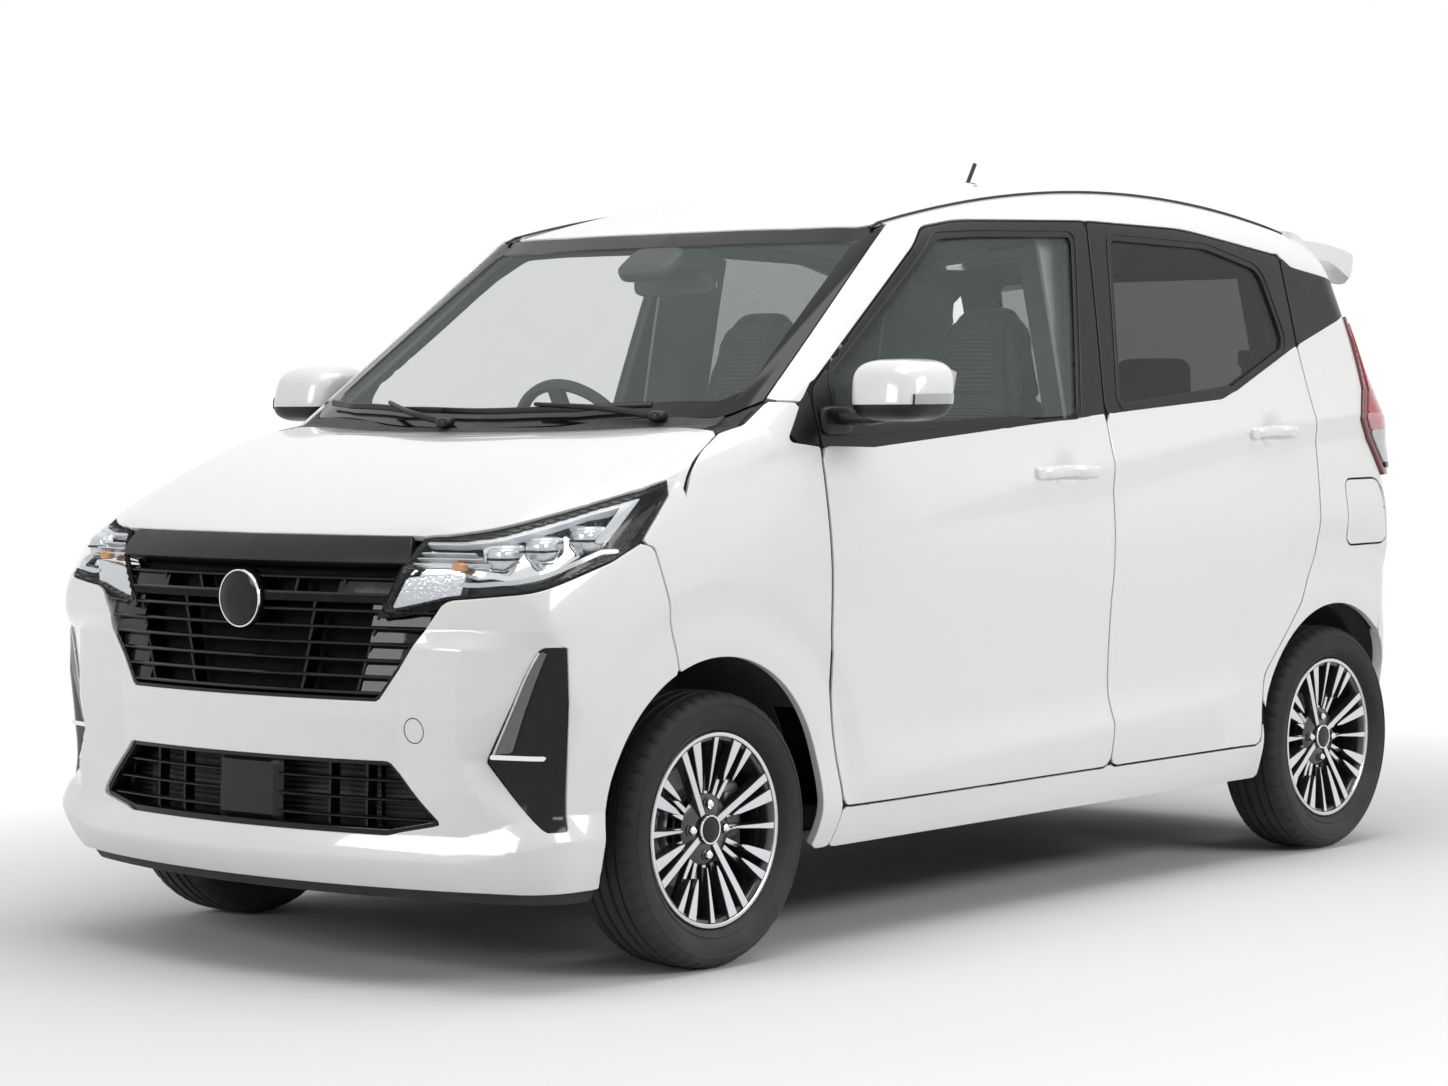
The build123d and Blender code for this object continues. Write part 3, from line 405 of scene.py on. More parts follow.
def round_front(u, v):
    """Nose of the body over (plan angle in degrees, height)."""
    angle = np.radians(u)
    origin = np.stack([np.full_like(u, NOSE_CENTRE), np.zeros_like(u), v], axis=1)
    return cast(origin, np.stack([np.cos(angle), np.sin(angle), 0 * u], axis=1), 0.1, 1.1)


def round_back(u, v):
    """Tail of the body over (plan angle in degrees, height)."""
    angle = np.radians(u)
    origin = np.stack([np.full_like(u, TAIL_CENTRE), np.zeros_like(u), v], axis=1)
    return cast(origin, np.stack([-np.cos(angle), np.sin(angle), 0 * u], axis=1), 0.1, 1.1)


def from_rear(u, v):
    """Tail of the body over (y, height), along straight rays."""
    origin = np.stack([np.full_like(u, TAIL_CENTRE), u, v], axis=1)
    return cast(origin, np.array([[-1.0, 0.0, 0.0]]), 0.0, 0.75)


def rounded(points, grow=0.0):
    """Closed outline in metres with arcs at its corners, moved outwards by grow."""
    p = np.array([(q[0], q[1]) for q in points], float) * MM
    radii = np.array([q[2] if len(q) > 2 else 0 for q in points], float) * MM
    before, after = np.roll(p, 1, axis=0), np.roll(p, -1, axis=0)
    area = np.sum(before[:, 0] * p[:, 1] - p[:, 0] * before[:, 1])
    turn = 1 if area > 0 else -1
    d1, d2 = p - before, after - p
    d1 /= np.linalg.norm(d1, axis=1, keepdims=True)
    d2 /= np.linalg.norm(d2, axis=1, keepdims=True)
    n1 = turn * np.stack([d1[:, 1], -d1[:, 0]], axis=1)
    n2 = turn * np.stack([d2[:, 1], -d2[:, 0]], axis=1)
    p = p + (n1 + n2) * grow / (1 + np.sum(n1 * n2, axis=1))[:, None]
    convex = turn * (d1[:, 0] * d2[:, 1] - d1[:, 1] * d2[:, 0]) > 0
    radii = np.where(radii > 0, np.maximum(radii + np.where(convex, grow, -grow), 0.001), 0)
    before, after = np.roll(p, 1, axis=0), np.roll(p, -1, axis=0)
    out = []
    for q, r, b, a in zip(p, radii, before, after):
        la, lb = np.linalg.norm(b - q), np.linalg.norm(a - q)
        ua, ub = (b - q) / la, (a - q) / lb
        half = np.arccos(np.clip(ua @ ub, -1, 1)) / 2
        back = min(r / max(np.tan(half), 1e-6), 0.46 * la, 0.46 * lb) if r else 0
        if back < 0.0005:
            out.append(q)
            continue
        t = np.linspace(0, 1, 9)[:, None]
        start, end = q + ua * back, q + ub * back
        out.extend((1 - t) ** 2 * start + 2 * t * (1 - t) * (q * 0.9 + (start + end) * 0.05) + t**2 * end)
    return np.array(out)


def inside(loop, a, b):
    """Signed distance to a closed outline, positive inside."""
    best = np.full(len(a), 1e9)
    odd = np.zeros(len(a), bool)
    for (x0, z0), (x1, z1) in zip(loop, np.roll(loop, -1, axis=0)):
        ex, ez = x1 - x0, z1 - z0
        span = ex * ex + ez * ez
        if span < 1e-14:
            continue
        t = np.clip(((a - x0) * ex + (b - z0) * ez) / span, 0, 1)
        best = np.minimum(best, (a - x0 - t * ex) ** 2 + (b - z0 - t * ez) ** 2)
        if ez != 0:
            odd ^= ((z0 > b) != (z1 > b)) & (a < x0 + (b - z0) * ex / ez)
    return np.where(odd, 1, -1) * np.sqrt(best)


def side_keep(points, grow=0.0):
    """Test for points inside a side-view outline."""
    loop = rounded(points, grow)
    return lambda p: inside(loop, p[:, 0], p[:, 2])


def front_keep(points, grow=0.0):
    """Test for points inside a front-view outline."""
    loop = rounded(points, grow)
    return lambda p: inside(loop, p[:, 1], p[:, 2])


def nose_keep(points, grow=0.0):
    """Test for points inside a front-view outline, laid on the plain nose so that its corner edge is even."""
    loop = rounded(points, grow)
    return lambda p: inside(loop, across_nose(p[:, 0], p[:, 1]) * np.sign(p[:, 1]), p[:, 2])


def plan_keep(points, grow=0.0):
    """Test for points inside a plan outline."""
    loop = rounded(points, grow)
    return lambda p: inside(loop, p[:, 0], p[:, 1])


def arch_keep(end, grow=0.0):
    """Test for points inside a wheel arch."""
    axle = FRONT_AXLE if end == "front" else REAR_AXLE
    return lambda p: ARCH_R[end] + grow - np.hypot(p[:, 0] - axle, p[:, 2] - ARCH_Z)


def both_of(*tests):
    """Inside every one of the tests."""
    return lambda p: np.min([t(p) for t in tests], axis=0)


def none_of(*tests):
    """Outside every one of the tests."""
    return lambda p: np.min([-t(p) for t in tests], axis=0)


CELL = [[k for pair in range(4) for k in (
    ([pair] if case >> pair & 1 else [])
    + ([4 + pair] if (case >> pair & 1) != (case >> (pair + 1) % 4 & 1) else []))] for case in range(16)]


def trimmed(project, u, v, keep):
    """Grid of a projected surface cut along keep = 0: whole cells inside, clipped cells on the edge."""
    grid_u, grid_v = np.meshgrid(u, v, indexing="ij")
    n, m = grid_u.shape
    points, valid = project(grid_u.ravel(), grid_v.ravel())
    value = np.where(valid, keep(points), -1.0).reshape(n, m)
    value = np.where(np.abs(value) < 1e-6, 1e-6, value)
    is_in = value > 0

    def crossing(a, b):
        return np.clip(a / np.where(np.abs(a - b) < 1e-12, 1, a - b), 0.04, 0.96)

    along = crossing(value[:-1], value[1:])
    across = crossing(value[:, :-1], value[:, 1:])
    all_u = np.concatenate([grid_u.ravel(), (grid_u[:-1] + along * np.diff(grid_u, axis=0)).ravel(),
                            grid_u[:, :-1].ravel()])
    all_v = np.concatenate([grid_v.ravel(), grid_v[:-1].ravel(),
                            (grid_v[:, :-1] + across * np.diff(grid_v, axis=1)).ravel()])
    ids = np.arange(n * m).reshape(n, m)
    ids_a = n * m + np.arange((n - 1) * m).reshape(n - 1, m)
    ids_b = n * m + (n - 1) * m + np.arange(n * (m - 1)).reshape(n, m - 1)
    corner = np.stack([ids[:-1, :-1], ids[1:, :-1], ids[1:, 1:], ids[:-1, 1:],
                       ids_a[:, :-1], ids_b[1:, :], ids_a[:, 1:], ids_b[:-1, :]], axis=-1)
    case = (is_in[:-1, :-1] * 1 + is_in[1:, :-1] * 2 + is_in[1:, 1:] * 4 + is_in[:-1, 1:] * 8)
    faces = [row.tolist() for c in range(1, 16) for row in corner[case == c][:, CELL[c]]]
    used = np.unique(np.concatenate([np.array(f) for f in faces]))
    renumber = np.zeros(len(all_u), int)
    renumber[used] = np.arange(len(used))
    p = np.zeros((len(used), 3))
    on_grid = used < n * m
    p[on_grid] = points[used[on_grid]]
    p[~on_grid] = project(all_u[used[~on_grid]], all_v[used[~on_grid]])[0]
    return p, [renumber[f].tolist() for f in faces]


def facing(p, faces, normals):
    """Faces turned so that they look along the normals."""
    f = max(faces, key=len)
    a, b, c = p[f[0]], p[f[1]], p[f[2]]
    if np.dot(np.cross(b - a, c - b), normals[f[0]]) < 0:
        return [g[::-1] for g in faces]
    return faces


def rim_edges(faces):
    """Directed edges that belong to one face only."""
    a = np.concatenate([np.array(f) for f in faces])
    b = np.concatenate([np.roll(f, -1) for f in faces])
    key = np.minimum(a, b) * (a.max() + 1) + np.maximum(a, b)
    _, index, count = np.unique(key, return_inverse=True, return_counts=True)
    lone = count[index] == 1
    return a[lone], b[lone]


class Shape:
    """Vertices, faces, a material number for each face and, if known, vertex normals."""

    def __init__(self):
        self.points = []
        self.faces = []
        self.slots = []
        self.normals = []
        self.count = 0

    def add(self, points, faces, slot=0, normals=None):
        """Append a piece of mesh; slot is one number or one for each face."""
        points = np.asarray(points, float).reshape(-1, 3)
        self.points.append(points)
        self.faces += [[i + self.count for i in f] for f in faces]
        self.slots += np.broadcast_to(slot, len(faces)).tolist()
        self.normals.append(np.full_like(points, np.nan) if normals is None else normals)
        self.count += len(points)
        return self

    def grid(self, p, slot=0, wrap_u=False, wrap_v=False, caps=False, flip=False):
        """Append a grid of points (n, m, 3) as a sheet, a tube or a closed form."""
        p = np.asarray(p, float)
        n, m = p.shape[:2]
        ids = np.arange(n * m).reshape(n, m)
        if wrap_u:
            ids = np.vstack([ids, ids[:1]])
        if wrap_v:
            ids = np.hstack([ids, ids[:, :1]])
        quads = np.stack([ids[:-1, :-1], ids[1:, :-1], ids[1:, 1:], ids[:-1, 1:]], axis=-1).reshape(-1, 4)
        faces = quads.tolist()
        slot = np.broadcast_to(slot, (ids.shape[0] - 1, ids.shape[1] - 1)).ravel().tolist()
        if caps:
            faces += [ids[0, :m].tolist(), ids[-1, :m][::-1].tolist()]
            slot += [slot[-1]] * 2
        if flip:
            faces = [f[::-1] for f in faces]
        return self.add(p.reshape(-1, 3), faces, slot)

    def join(self, other):
        """Append another shape."""
        self.points += other.points
        self.faces += [[i + self.count for i in f] for f in other.faces]
        self.slots += other.slots
        self.normals += other.normals
        self.count += other.count
        return self

    def mapped(self, change, flip=False):
        """Copy with its points changed by a function; mirrored copies turn their faces round."""
        out = Shape()
        out.points = [change(p) for p in self.points]
        out.faces = [f[::-1] for f in self.faces] if flip else [list(f) for f in self.faces]
        out.slots, out.count = list(self.slots), self.count
        out.normals = [change(q) for q in self.normals] if flip else [q * np.nan for q in self.normals]
        return out

    def mirrored(self):
        """The same piece on the other side of the car."""
        return self.mapped(lambda p: p * np.array([1, -1, 1]), flip=True)

    def both(self):
        """This piece and its mirror image as one shape."""
        return Shape().join(self).join(self.mirrored())


def make(name, shape, materials, body="body", sharp=35.0):
    """Turn a shape into an object with its materials that rides on a body."""
    mesh = bpy.data.meshes.new(name)
    points = np.vstack(shape.points)
    mesh.from_pydata(points.tolist(), [], shape.faces)
    for key in materials:
        mesh.materials.append(finish(key))
    mesh.polygons.foreach_set("material_index", np.array(shape.slots, np.int32))
    mesh.validate()
    mesh.shade_smooth()
    normals = np.vstack(shape.normals)
    if np.isnan(normals).any():
        mesh.set_sharp_from_angle(angle=np.radians(sharp))
    else:
        mesh.normals_split_custom_set_from_vertices(normals.tolist())
    obj = bpy.data.objects.new(name, mesh)
    bpy.context.scene.collection.objects.link(obj)
    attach(obj, body)
    return obj


def off_edge(keep, p, normal, total):
    """Direction out of a panel at its rim: down the slope of its outline's distance, along the skin."""
    steps = np.eye(3) * 0.0008
    slope = np.stack([keep(p - s) - keep(p + s) for s in steps], axis=1)
    slope -= np.sum(slope * normal, axis=1)[:, None] * normal
    length = np.linalg.norm(slope, axis=1)
    good = (np.abs(keep(p)) < 0.003) & (length > 1e-5)
    return np.where(good[:, None], slope / np.maximum(length, 1e-9)[:, None], total)


def panel(project, u, v, keep, slot=0, hem=0.0022, depth=0.014, inset=0.0, back=None, back_slot=None):
    """Trimmed piece of the body skin with rolled edges, set in by inset; back closes it behind."""
    p, faces = trimmed(project, u, v, keep)
    normal = normals_at(p)
    faces = facing(p, faces, normal)
    skin = p
    p = p - normal * inset
    out = Shape().add(p, faces, slot, normal)
    a, b = rim_edges(faces)
    run = p[b] - p[a]
    outward = np.cross(run, normal[a])
    outward /= np.maximum(np.linalg.norm(outward, axis=1, keepdims=True), 1e-9)
    total = np.zeros_like(p)
    np.add.at(total, a, outward)
    np.add.at(total, b, outward)
    rim = np.unique(np.concatenate([a, b]))
    total[rim] = off_edge(keep, skin[rim], normal[rim], total[rim])
    number = np.zeros(len(p), int)
    number[rim] = np.arange(len(rim))
    t = total[rim]
    t /= np.maximum(np.linalg.norm(t, axis=1, keepdims=True), 1e-9)
    n0, p0 = normal[rim], p[rim]
    angles = np.radians([45, 90]) if hem > 0 else []
    rings, ring_normals = [p0], [n0]
    for angle in angles:
        rings.append(p0 + t * hem * np.sin(angle) - n0 * hem * (1 - np.cos(angle)))
        ring_normals.append(n0 * np.cos(angle) + t * np.sin(angle))
    if hem == 0:
        rings.append(p0 + 0 * t)
        ring_normals.append(t)
    rings.append(rings[-1] - n0 * depth)
    ring_normals.append(t)
    count = len(rim)
    ra, rb = number[a], number[b]
    strips = []
    for k in range(len(rings) - 1):
        quad = np.stack([rb + k * count, ra + k * count, ra + (k + 1) * count, rb + (k + 1) * count], axis=1)
        strips += quad.tolist()
    out.add(np.vstack(rings), strips, slot, np.vstack(ring_normals))
    if back is not None:
        behind = p - normal * back
        out.add(behind, [f[::-1] for f in faces], slot if back_slot is None else back_slot, -normal)
        last = rings[-1]
        link = np.stack([rb, ra, ra + count, rb + count], axis=1).tolist()
        out.add(np.vstack([last, behind[rim]]), link, slot if back_slot is None else back_slot,
                np.vstack([-n0, -n0]))
    return out


def spaced(start, end, step):
    """Evenly spaced values no further apart than step."""
    return np.linspace(start, end, max(int(abs(end - start) / step) + 1, 2))


SIDE_ROW_COUNTS = (15, 7, 21, 10, 7, 15, 30)
SIDE_ROWS = np.concatenate([k + np.arange(n) / n for k, n in enumerate(SIDE_ROW_COUNTS)] + [[7.0]])


# Materials
def graph(key):
    """New material with an empty node tree, its shader and its output."""
    mat = bpy.data.materials.new(key)
    mat.use_nodes = True
    nodes = mat.node_tree.nodes
    return mat, nodes, mat.node_tree.links, nodes["Principled BSDF"]


def put(nodes, links, kind, inputs=(), **values):
    """New node with its properties set and its inputs linked or given a value."""
    node = nodes.new(kind)
    for name, value in values.items():
        setattr(node, name, value)
    for socket, value in inputs:
        if isinstance(value, bpy.types.NodeSocket):
            links.new(value, node.inputs[socket])
        else:
            node.inputs[socket].default_value = value
    return node


def blended(nodes, links, factor, a, b):
    """Colour between a and b by a factor; each may be a colour or a link."""
    mix = put(nodes, links, "ShaderNodeMix", [("Factor", factor)], data_type="RGBA")
    for socket, value in ((mix.inputs[6], a), (mix.inputs[7], b)):
        if isinstance(value, bpy.types.NodeSocket):
            links.new(value, socket)
        else:
            socket.default_value = (*value, 1)
    return mix.outputs[2]


def surface(key, color, rough=0.4, metallic=0.0, coat=0.0, vary=0.06, grain=60.0, rough_vary=0.06,
            bump=0.0, bump_scale=400.0, alpha=1.0, sheen=0.0, pattern=None, wear=None, spec=0.5):
    """Finish with its own colour variation, roughness variation and relief, from the part's position."""
    mat, nodes, links, shader = graph(key)
    place = put(nodes, links, "ShaderNodeTexCoord").outputs["Object"]
    tint = put(nodes, links, "ShaderNodeTexNoise", [("Vector", place), ("Scale", grain), ("Detail", 5.0)])
    lighter = [min(c * (1 + vary) + 0.2 * vary * vary, 1) for c in color]
    darker = [c * (1 - vary) for c in color]
    result = blended(nodes, links, tint.outputs["Fac"], darker, lighter)
    height = None
    if pattern:
        result, height = pattern(nodes, links, place, result)
    if wear:
        result = worn(nodes, links, place, result, wear)
    links.new(result, shader.inputs["Base Color"])
    patch = put(nodes, links, "ShaderNodeTexNoise", [("Vector", place), ("Scale", grain * 0.3),
                                                     ("Detail", 4.0)])
    spread = put(nodes, links, "ShaderNodeMapRange", [
        ("Value", patch.outputs["Fac"]), ("From Min", 0.3), ("From Max", 0.7),
        ("To Min", max(rough - rough_vary, 0.01)), ("To Max", min(rough + rough_vary, 1.0))])
    links.new(spread.outputs["Result"], shader.inputs["Roughness"])
    if bump or height:
        if height is None:
            height = put(nodes, links, "ShaderNodeTexNoise", [
                ("Vector", place), ("Scale", bump_scale), ("Detail", 3.0)]).outputs["Fac"]
        relief = put(nodes, links, "ShaderNodeBump", [("Height", height), ("Strength", max(bump, 0.05)),
                                                      ("Distance", 0.001)])
        links.new(relief.outputs["Normal"], shader.inputs["Normal"])
    for socket, value in (("Metallic", metallic), ("Coat Weight", coat), ("Coat Roughness", 0.03),
                          ("Alpha", alpha),
                          ("IOR", 1.5), ("Specular IOR Level", spec), ("Sheen Weight", sheen)):
        shader.inputs[socket].default_value = value
    return mat


def worn(nodes, links, place, result, color):
    """Dust and grime that gathers low on the car, broken up by noise."""
    split = put(nodes, links, "ShaderNodeSeparateXYZ", [("Vector", place)])
    low = put(nodes, links, "ShaderNodeMapRange", [
        ("Value", split.outputs["Z"]), ("From Min", 0.32), ("From Max", 0.08), ("To Min", 0.0),
        ("To Max", 0.35)])
    noise = put(nodes, links, "ShaderNodeTexNoise", [("Vector", place), ("Scale", 14.0), ("Detail", 6.0)])
    both = put(nodes, links, "ShaderNodeMath", [(0, low.outputs["Result"]), (1, noise.outputs["Fac"])],
               operation="MULTIPLY")
    return blended(nodes, links, both.outputs[0], result, color)


def weave(nodes, links, place, result):
    """Woven cloth: two crossed wave patterns raise the threads and paint shade, near black, into the gaps
    between them.
    """
    threads = [("Vector", place), ("Scale", 160.0), ("Distortion", 1.0)]
    waves = [put(nodes, links, "ShaderNodeTexWave", threads, bands_direction=axis) for axis in ("X", "Z")]
    both = put(nodes, links, "ShaderNodeMath", [(0, waves[0].outputs["Fac"]), (1, waves[1].outputs["Fac"])],
               operation="MULTIPLY")
    # Painted shade in the gaps between threads.
    return blended(nodes, links, both.outputs[0], (0.018, 0.019, 0.020), result), both.outputs[0]


def turned_metal(nodes, links, place, result):
    """Fine rings left by a lathe, round the axle nearest to the point."""
    split = put(nodes, links, "ShaderNodeSeparateXYZ", [("Vector", place)])
    front = put(nodes, links, "ShaderNodeMath", [(0, split.outputs["X"]), (1, 0.0)], operation="GREATER_THAN")
    axle = put(nodes, links, "ShaderNodeMapRange", [("Value", front.outputs[0]), ("To Min", -REAR_AXLE),
                                                    ("To Max", -FRONT_AXLE)])
    along = put(nodes, links, "ShaderNodeMath", [(0, split.outputs["X"]), (1, axle.outputs["Result"])],
                operation="ADD")
    up = put(nodes, links, "ShaderNodeMath", [(0, split.outputs["Z"]), (1, -TYRE_R)], operation="ADD")
    flat = put(nodes, links, "ShaderNodeCombineXYZ", [("X", along.outputs[0]), ("Y", up.outputs[0])])
    radius = put(nodes, links, "ShaderNodeVectorMath", [(0, flat.outputs["Vector"])], operation="LENGTH")
    fine = put(nodes, links, "ShaderNodeMath", [(0, radius.outputs["Value"]), (1, 5200.0)],
               operation="MULTIPLY")
    rings = put(nodes, links, "ShaderNodeMath", [(0, fine.outputs[0])], operation="SINE")
    return blended(nodes, links, rings.outputs[0], result, (0.66, 0.67, 0.69)), rings.outputs[0]


def ribbed(nodes, links, place, result):
    """Fluted lens: fine upright ribs on the back of a clear moulding."""
    wave = put(nodes, links, "ShaderNodeTexWave", [("Vector", place), ("Scale", 60.0)], bands_direction="Y")
    return result, wave.outputs["Fac"]


def meshed(nodes, links, place, result):
    """Core of a radiator: rows of folded fins between level tubes, with painted shade, near black, in the
    gaps between them.
    """
    fins = put(nodes, links, "ShaderNodeTexWave", [("Vector", place), ("Scale", 110.0)], bands_direction="Y")
    tubes = put(nodes, links, "ShaderNodeTexWave", [("Vector", place), ("Scale", 30.0)], bands_direction="Z")
    both = put(nodes, links, "ShaderNodeMath", [(0, fins.outputs["Fac"]), (1, tubes.outputs["Fac"])],
               operation="MULTIPLY")
    # Painted shade in the gaps between fins and tubes.
    return blended(nodes, links, both.outputs[0], (0.006, 0.006, 0.006), result), both.outputs[0]


def flakes(nodes, links, place, result):
    """Pearl paint: mica flakes as tiny cells whose shade differs a little."""
    cells = put(nodes, links, "ShaderNodeTexVoronoi", [("Vector", place), ("Scale", 1800.0)])
    shade = put(nodes, links, "ShaderNodeMapRange", [("Value", cells.outputs["Distance"]), ("To Min", 0.0),
                                                     ("To Max", 0.10)])
    pearl = blended(nodes, links, shade.outputs["Result"], result, (0.95, 0.95, 0.97))
    peel = put(nodes, links, "ShaderNodeTexNoise", [("Vector", place), ("Scale", 300.0), ("Detail", 1.0)])
    return pearl, peel.outputs["Fac"]


FINISHES = {
    "paint": dict(color=(0.83, 0.83, 0.82), rough=0.30, coat=1.0, vary=0.01, bump=0.02, rough_vary=0.02,
                  pattern=flakes, wear=(0.60, 0.58, 0.54)),
    "gloss_black": dict(color=(0.004, 0.004, 0.005), rough=0.10, spec=0.26, vary=0.2, rough_vary=0.03,
                        bump=0.02, bump_scale=120),
    "satin_black": dict(color=(0.009, 0.009, 0.010), rough=0.32, spec=0.30, vary=0.12, bump=0.05,
                        bump_scale=900),
    "matt_black": dict(spec=0.3, color=(0.012, 0.012, 0.013), rough=0.55, vary=0.15, bump=0.25,
                       bump_scale=1400,
                       wear=(0.20, 0.19, 0.17)),
    # Near black with little gloss: painted shade behind shut lines, in the grille opening and round the tow
    # cover.
    "painted_shade_black": dict(color=(0.004, 0.004, 0.004), rough=0.75, spec=0.1, vary=0.3, bump=0.2, bump_scale=300),
    "frit": dict(color=(0.006, 0.006, 0.007), rough=0.10, spec=0.25, vary=0.1, rough_vary=0.02),
    # Partly rubber seal, partly painted shade in the shut lines.
    "seal_rubber_and_gap_shade": dict(spec=0.15, color=(0.006, 0.006, 0.006), rough=0.62, vary=0.15, bump=0.1,
                        bump_scale=700),
    # Clear glass: its pale grey-green colour, laid on at low opacity, is partly the glass's green tint and
    # partly a painted milky reflection.
    "clear_glass": dict(color=(0.30, 0.36, 0.33), rough=0.02, alpha=0.13, spec=0.35, vary=0.02,
                        rough_vary=0.005),
    "tinted_glass": dict(color=(0.022, 0.025, 0.025), rough=0.02, alpha=0.50, spec=0.35, vary=0.05,
                         rough_vary=0.005),
    "lens": dict(color=(0.30, 0.31, 0.32), rough=0.02, alpha=0.08, vary=0.01, rough_vary=0.005, coat=0.6),
    "smoke_lens": dict(color=(0.075, 0.078, 0.082), rough=0.10, vary=0.1, coat=1.0, pattern=ribbed, bump=0.3),
    "lens_grey": dict(color=(0.55, 0.56, 0.58), rough=0.12, alpha=0.92, vary=0.05, coat=1.0, pattern=ribbed,
                      bump=0.3),
    "red_lens": dict(color=(0.42, 0.012, 0.014), rough=0.08, vary=0.08, coat=1.0, pattern=ribbed, bump=0.2),
    "dark_red_lens": dict(color=(0.13, 0.006, 0.008), rough=0.08, vary=0.08, coat=1.0, pattern=ribbed,
                          bump=0.2),
    "pink_lens": dict(color=(0.55, 0.22, 0.22), rough=0.1, vary=0.08, coat=1.0, pattern=ribbed, bump=0.2),
    "amber_lens": dict(color=(0.75, 0.30, 0.06), rough=0.15, vary=0.06, coat=1.0, pattern=ribbed, bump=0.3),
    "light_guide": dict(color=(0.66, 0.69, 0.72), rough=0.22, vary=0.05, coat=1.0, pattern=ribbed, bump=0.2),
    "crystal": dict(color=(0.62, 0.65, 0.68), rough=0.08, metallic=0.6, vary=0.15, grain=120, bump=0.6,
                    bump_scale=180, coat=1.0),
    "chrome": dict(color=(0.80, 0.81, 0.82), rough=0.07, metallic=1.0, vary=0.02, rough_vary=0.03),
    "machined": dict(color=(0.74, 0.75, 0.77), rough=0.24, metallic=1.0, vary=0.03, pattern=turned_metal,
                     bump=0.06),
    "rim_black": dict(color=(0.018, 0.018, 0.019), rough=0.25, coat=0.7, vary=0.15, bump=0.04,
                      bump_scale=600),
    "tyre": dict(spec=0.3, color=(0.017, 0.017, 0.018), rough=0.66, vary=0.18, grain=25, bump=0.3,
                 bump_scale=900,
                 wear=(0.16, 0.15, 0.13)),
    "disc": dict(color=(0.42, 0.41, 0.40), rough=0.34, metallic=1.0, vary=0.08, pattern=turned_metal,
                 bump=0.1),
    "cast_metal": dict(color=(0.20, 0.20, 0.205), rough=0.55, metallic=0.8, vary=0.15, bump=0.4,
                       bump_scale=260),
    "coated_steel": dict(color=(0.028, 0.028, 0.030), rough=0.5, metallic=0.3, vary=0.25, bump=0.3,
                         bump_scale=200, wear=(0.17, 0.14, 0.11)),
    "sealed_steel": dict(color=(0.035, 0.035, 0.037), rough=0.72, vary=0.25, bump=0.5, bump_scale=120,
                         wear=(0.17, 0.15, 0.12)),
    "exhaust": dict(color=(0.34, 0.31, 0.28), rough=0.4, metallic=0.9, vary=0.2, grain=18, bump=0.15),
    "core": dict(color=(0.10, 0.10, 0.105), rough=0.5, metallic=0.5, vary=0.1, pattern=meshed, bump=0.6),
    "tank": dict(color=(0.02, 0.02, 0.021), rough=0.6, vary=0.2, bump=0.3, bump_scale=300),
    "dash": dict(color=(0.050, 0.053, 0.055), rough=0.62, vary=0.08, bump=0.45, bump_scale=1100),
    "light_trim": dict(color=(0.50, 0.50, 0.48), rough=0.7, vary=0.05, bump=0.3, bump_scale=900),
    "headliner": dict(color=(0.56, 0.56, 0.54), rough=0.85, vary=0.06, bump=0.4, bump_scale=1300, sheen=0.3),
    "cloth": dict(color=(0.17, 0.18, 0.185), rough=0.85, vary=0.12, pattern=weave, bump=0.5, sheen=0.4),
    "webbing": dict(color=(0.045, 0.046, 0.048), rough=0.6, vary=0.1, pattern=weave, bump=0.4),
    "screen": dict(color=(0.012, 0.014, 0.017), rough=0.06, coat=1.0, vary=0.1, rough_vary=0.01),
    "signal_grey": dict(color=(0.42, 0.43, 0.44), rough=0.18, vary=0.05, coat=1.0, pattern=ribbed, bump=0.25),
    "mirror_glass": dict(color=(0.78, 0.80, 0.82), rough=0.03, metallic=1.0, vary=0.01, rough_vary=0.01),
    "floor": dict(color=(0.78, 0.78, 0.78), rough=0.9, vary=0.004, grain=3, rough_vary=0.02, bump=0.02),
}
made = {}


def finish(key):
    """Material of a finish, made once, with the user's colours and glass."""
    if key not in made:
        chosen = settings()
        own = {"paint": dict(color=tuple(chosen.paint)), "cloth": dict(color=tuple(chosen.cloth)),
               "clear_glass": dict(alpha=chosen.glass), "tinted_glass": dict(alpha=chosen.tint)}
        made[key] = surface(key, **{**FINISHES[key], **own.get(key, {})})
    return made[key]


CAD_FINISH = {
    "cowl_firewall": "sealed_steel", "floor_pan": "sealed_steel", "engine_block": "cast_metal",
    "exhaust": "exhaust", "front_subframe": "coated_steel", "rear_axle_beam": "coated_steel",
    "fuel_tank": "tank", "knuckle_left": "cast_metal", "knuckle_right": "cast_metal", "radiator": "core",
    "antenna": "satin_black", "dashboard": "dash", "steering_wheel": "dash",
}


# Camera and studio
def add_camera():
    """Camera of the photograph, from its fitted place and turn."""
    place = np.array([6.581, 5.361, 1.148])
    yaw, pitch, roll = np.radians([-140.35, -2.08, -0.43])
    ahead = np.array([np.cos(pitch) * np.cos(yaw), np.cos(pitch) * np.sin(yaw), np.sin(pitch)])
    right = np.cross(ahead, [0.0, 0.0, 1.0])
    right /= np.linalg.norm(right)
    up = np.cross(right, ahead)
    right, up = np.cos(roll) * right + np.sin(roll) * up, -np.sin(roll) * right + np.cos(roll) * up
    data = bpy.data.cameras.new("camera")
    data.sensor_width = 36.0
    data.lens = FOCAL_PIXELS / PHOTO_WIDTH * data.sensor_width
    data.shift_x = -(OPTICAL_CENTRE[0] - PHOTO_WIDTH / 2) / PHOTO_WIDTH
    data.shift_y = (OPTICAL_CENTRE[1] - PHOTO_HEIGHT / 2) / PHOTO_WIDTH
    data.clip_end = 60.0
    camera = bpy.data.objects.new("camera", data)
    bpy.context.scene.collection.objects.link(camera)
    axes = np.stack([right, up, -ahead], axis=1)
    camera.matrix_world = Matrix.Translation(place.tolist()) @ Matrix(axes.tolist()).to_4x4()
    bpy.context.scene.camera = camera


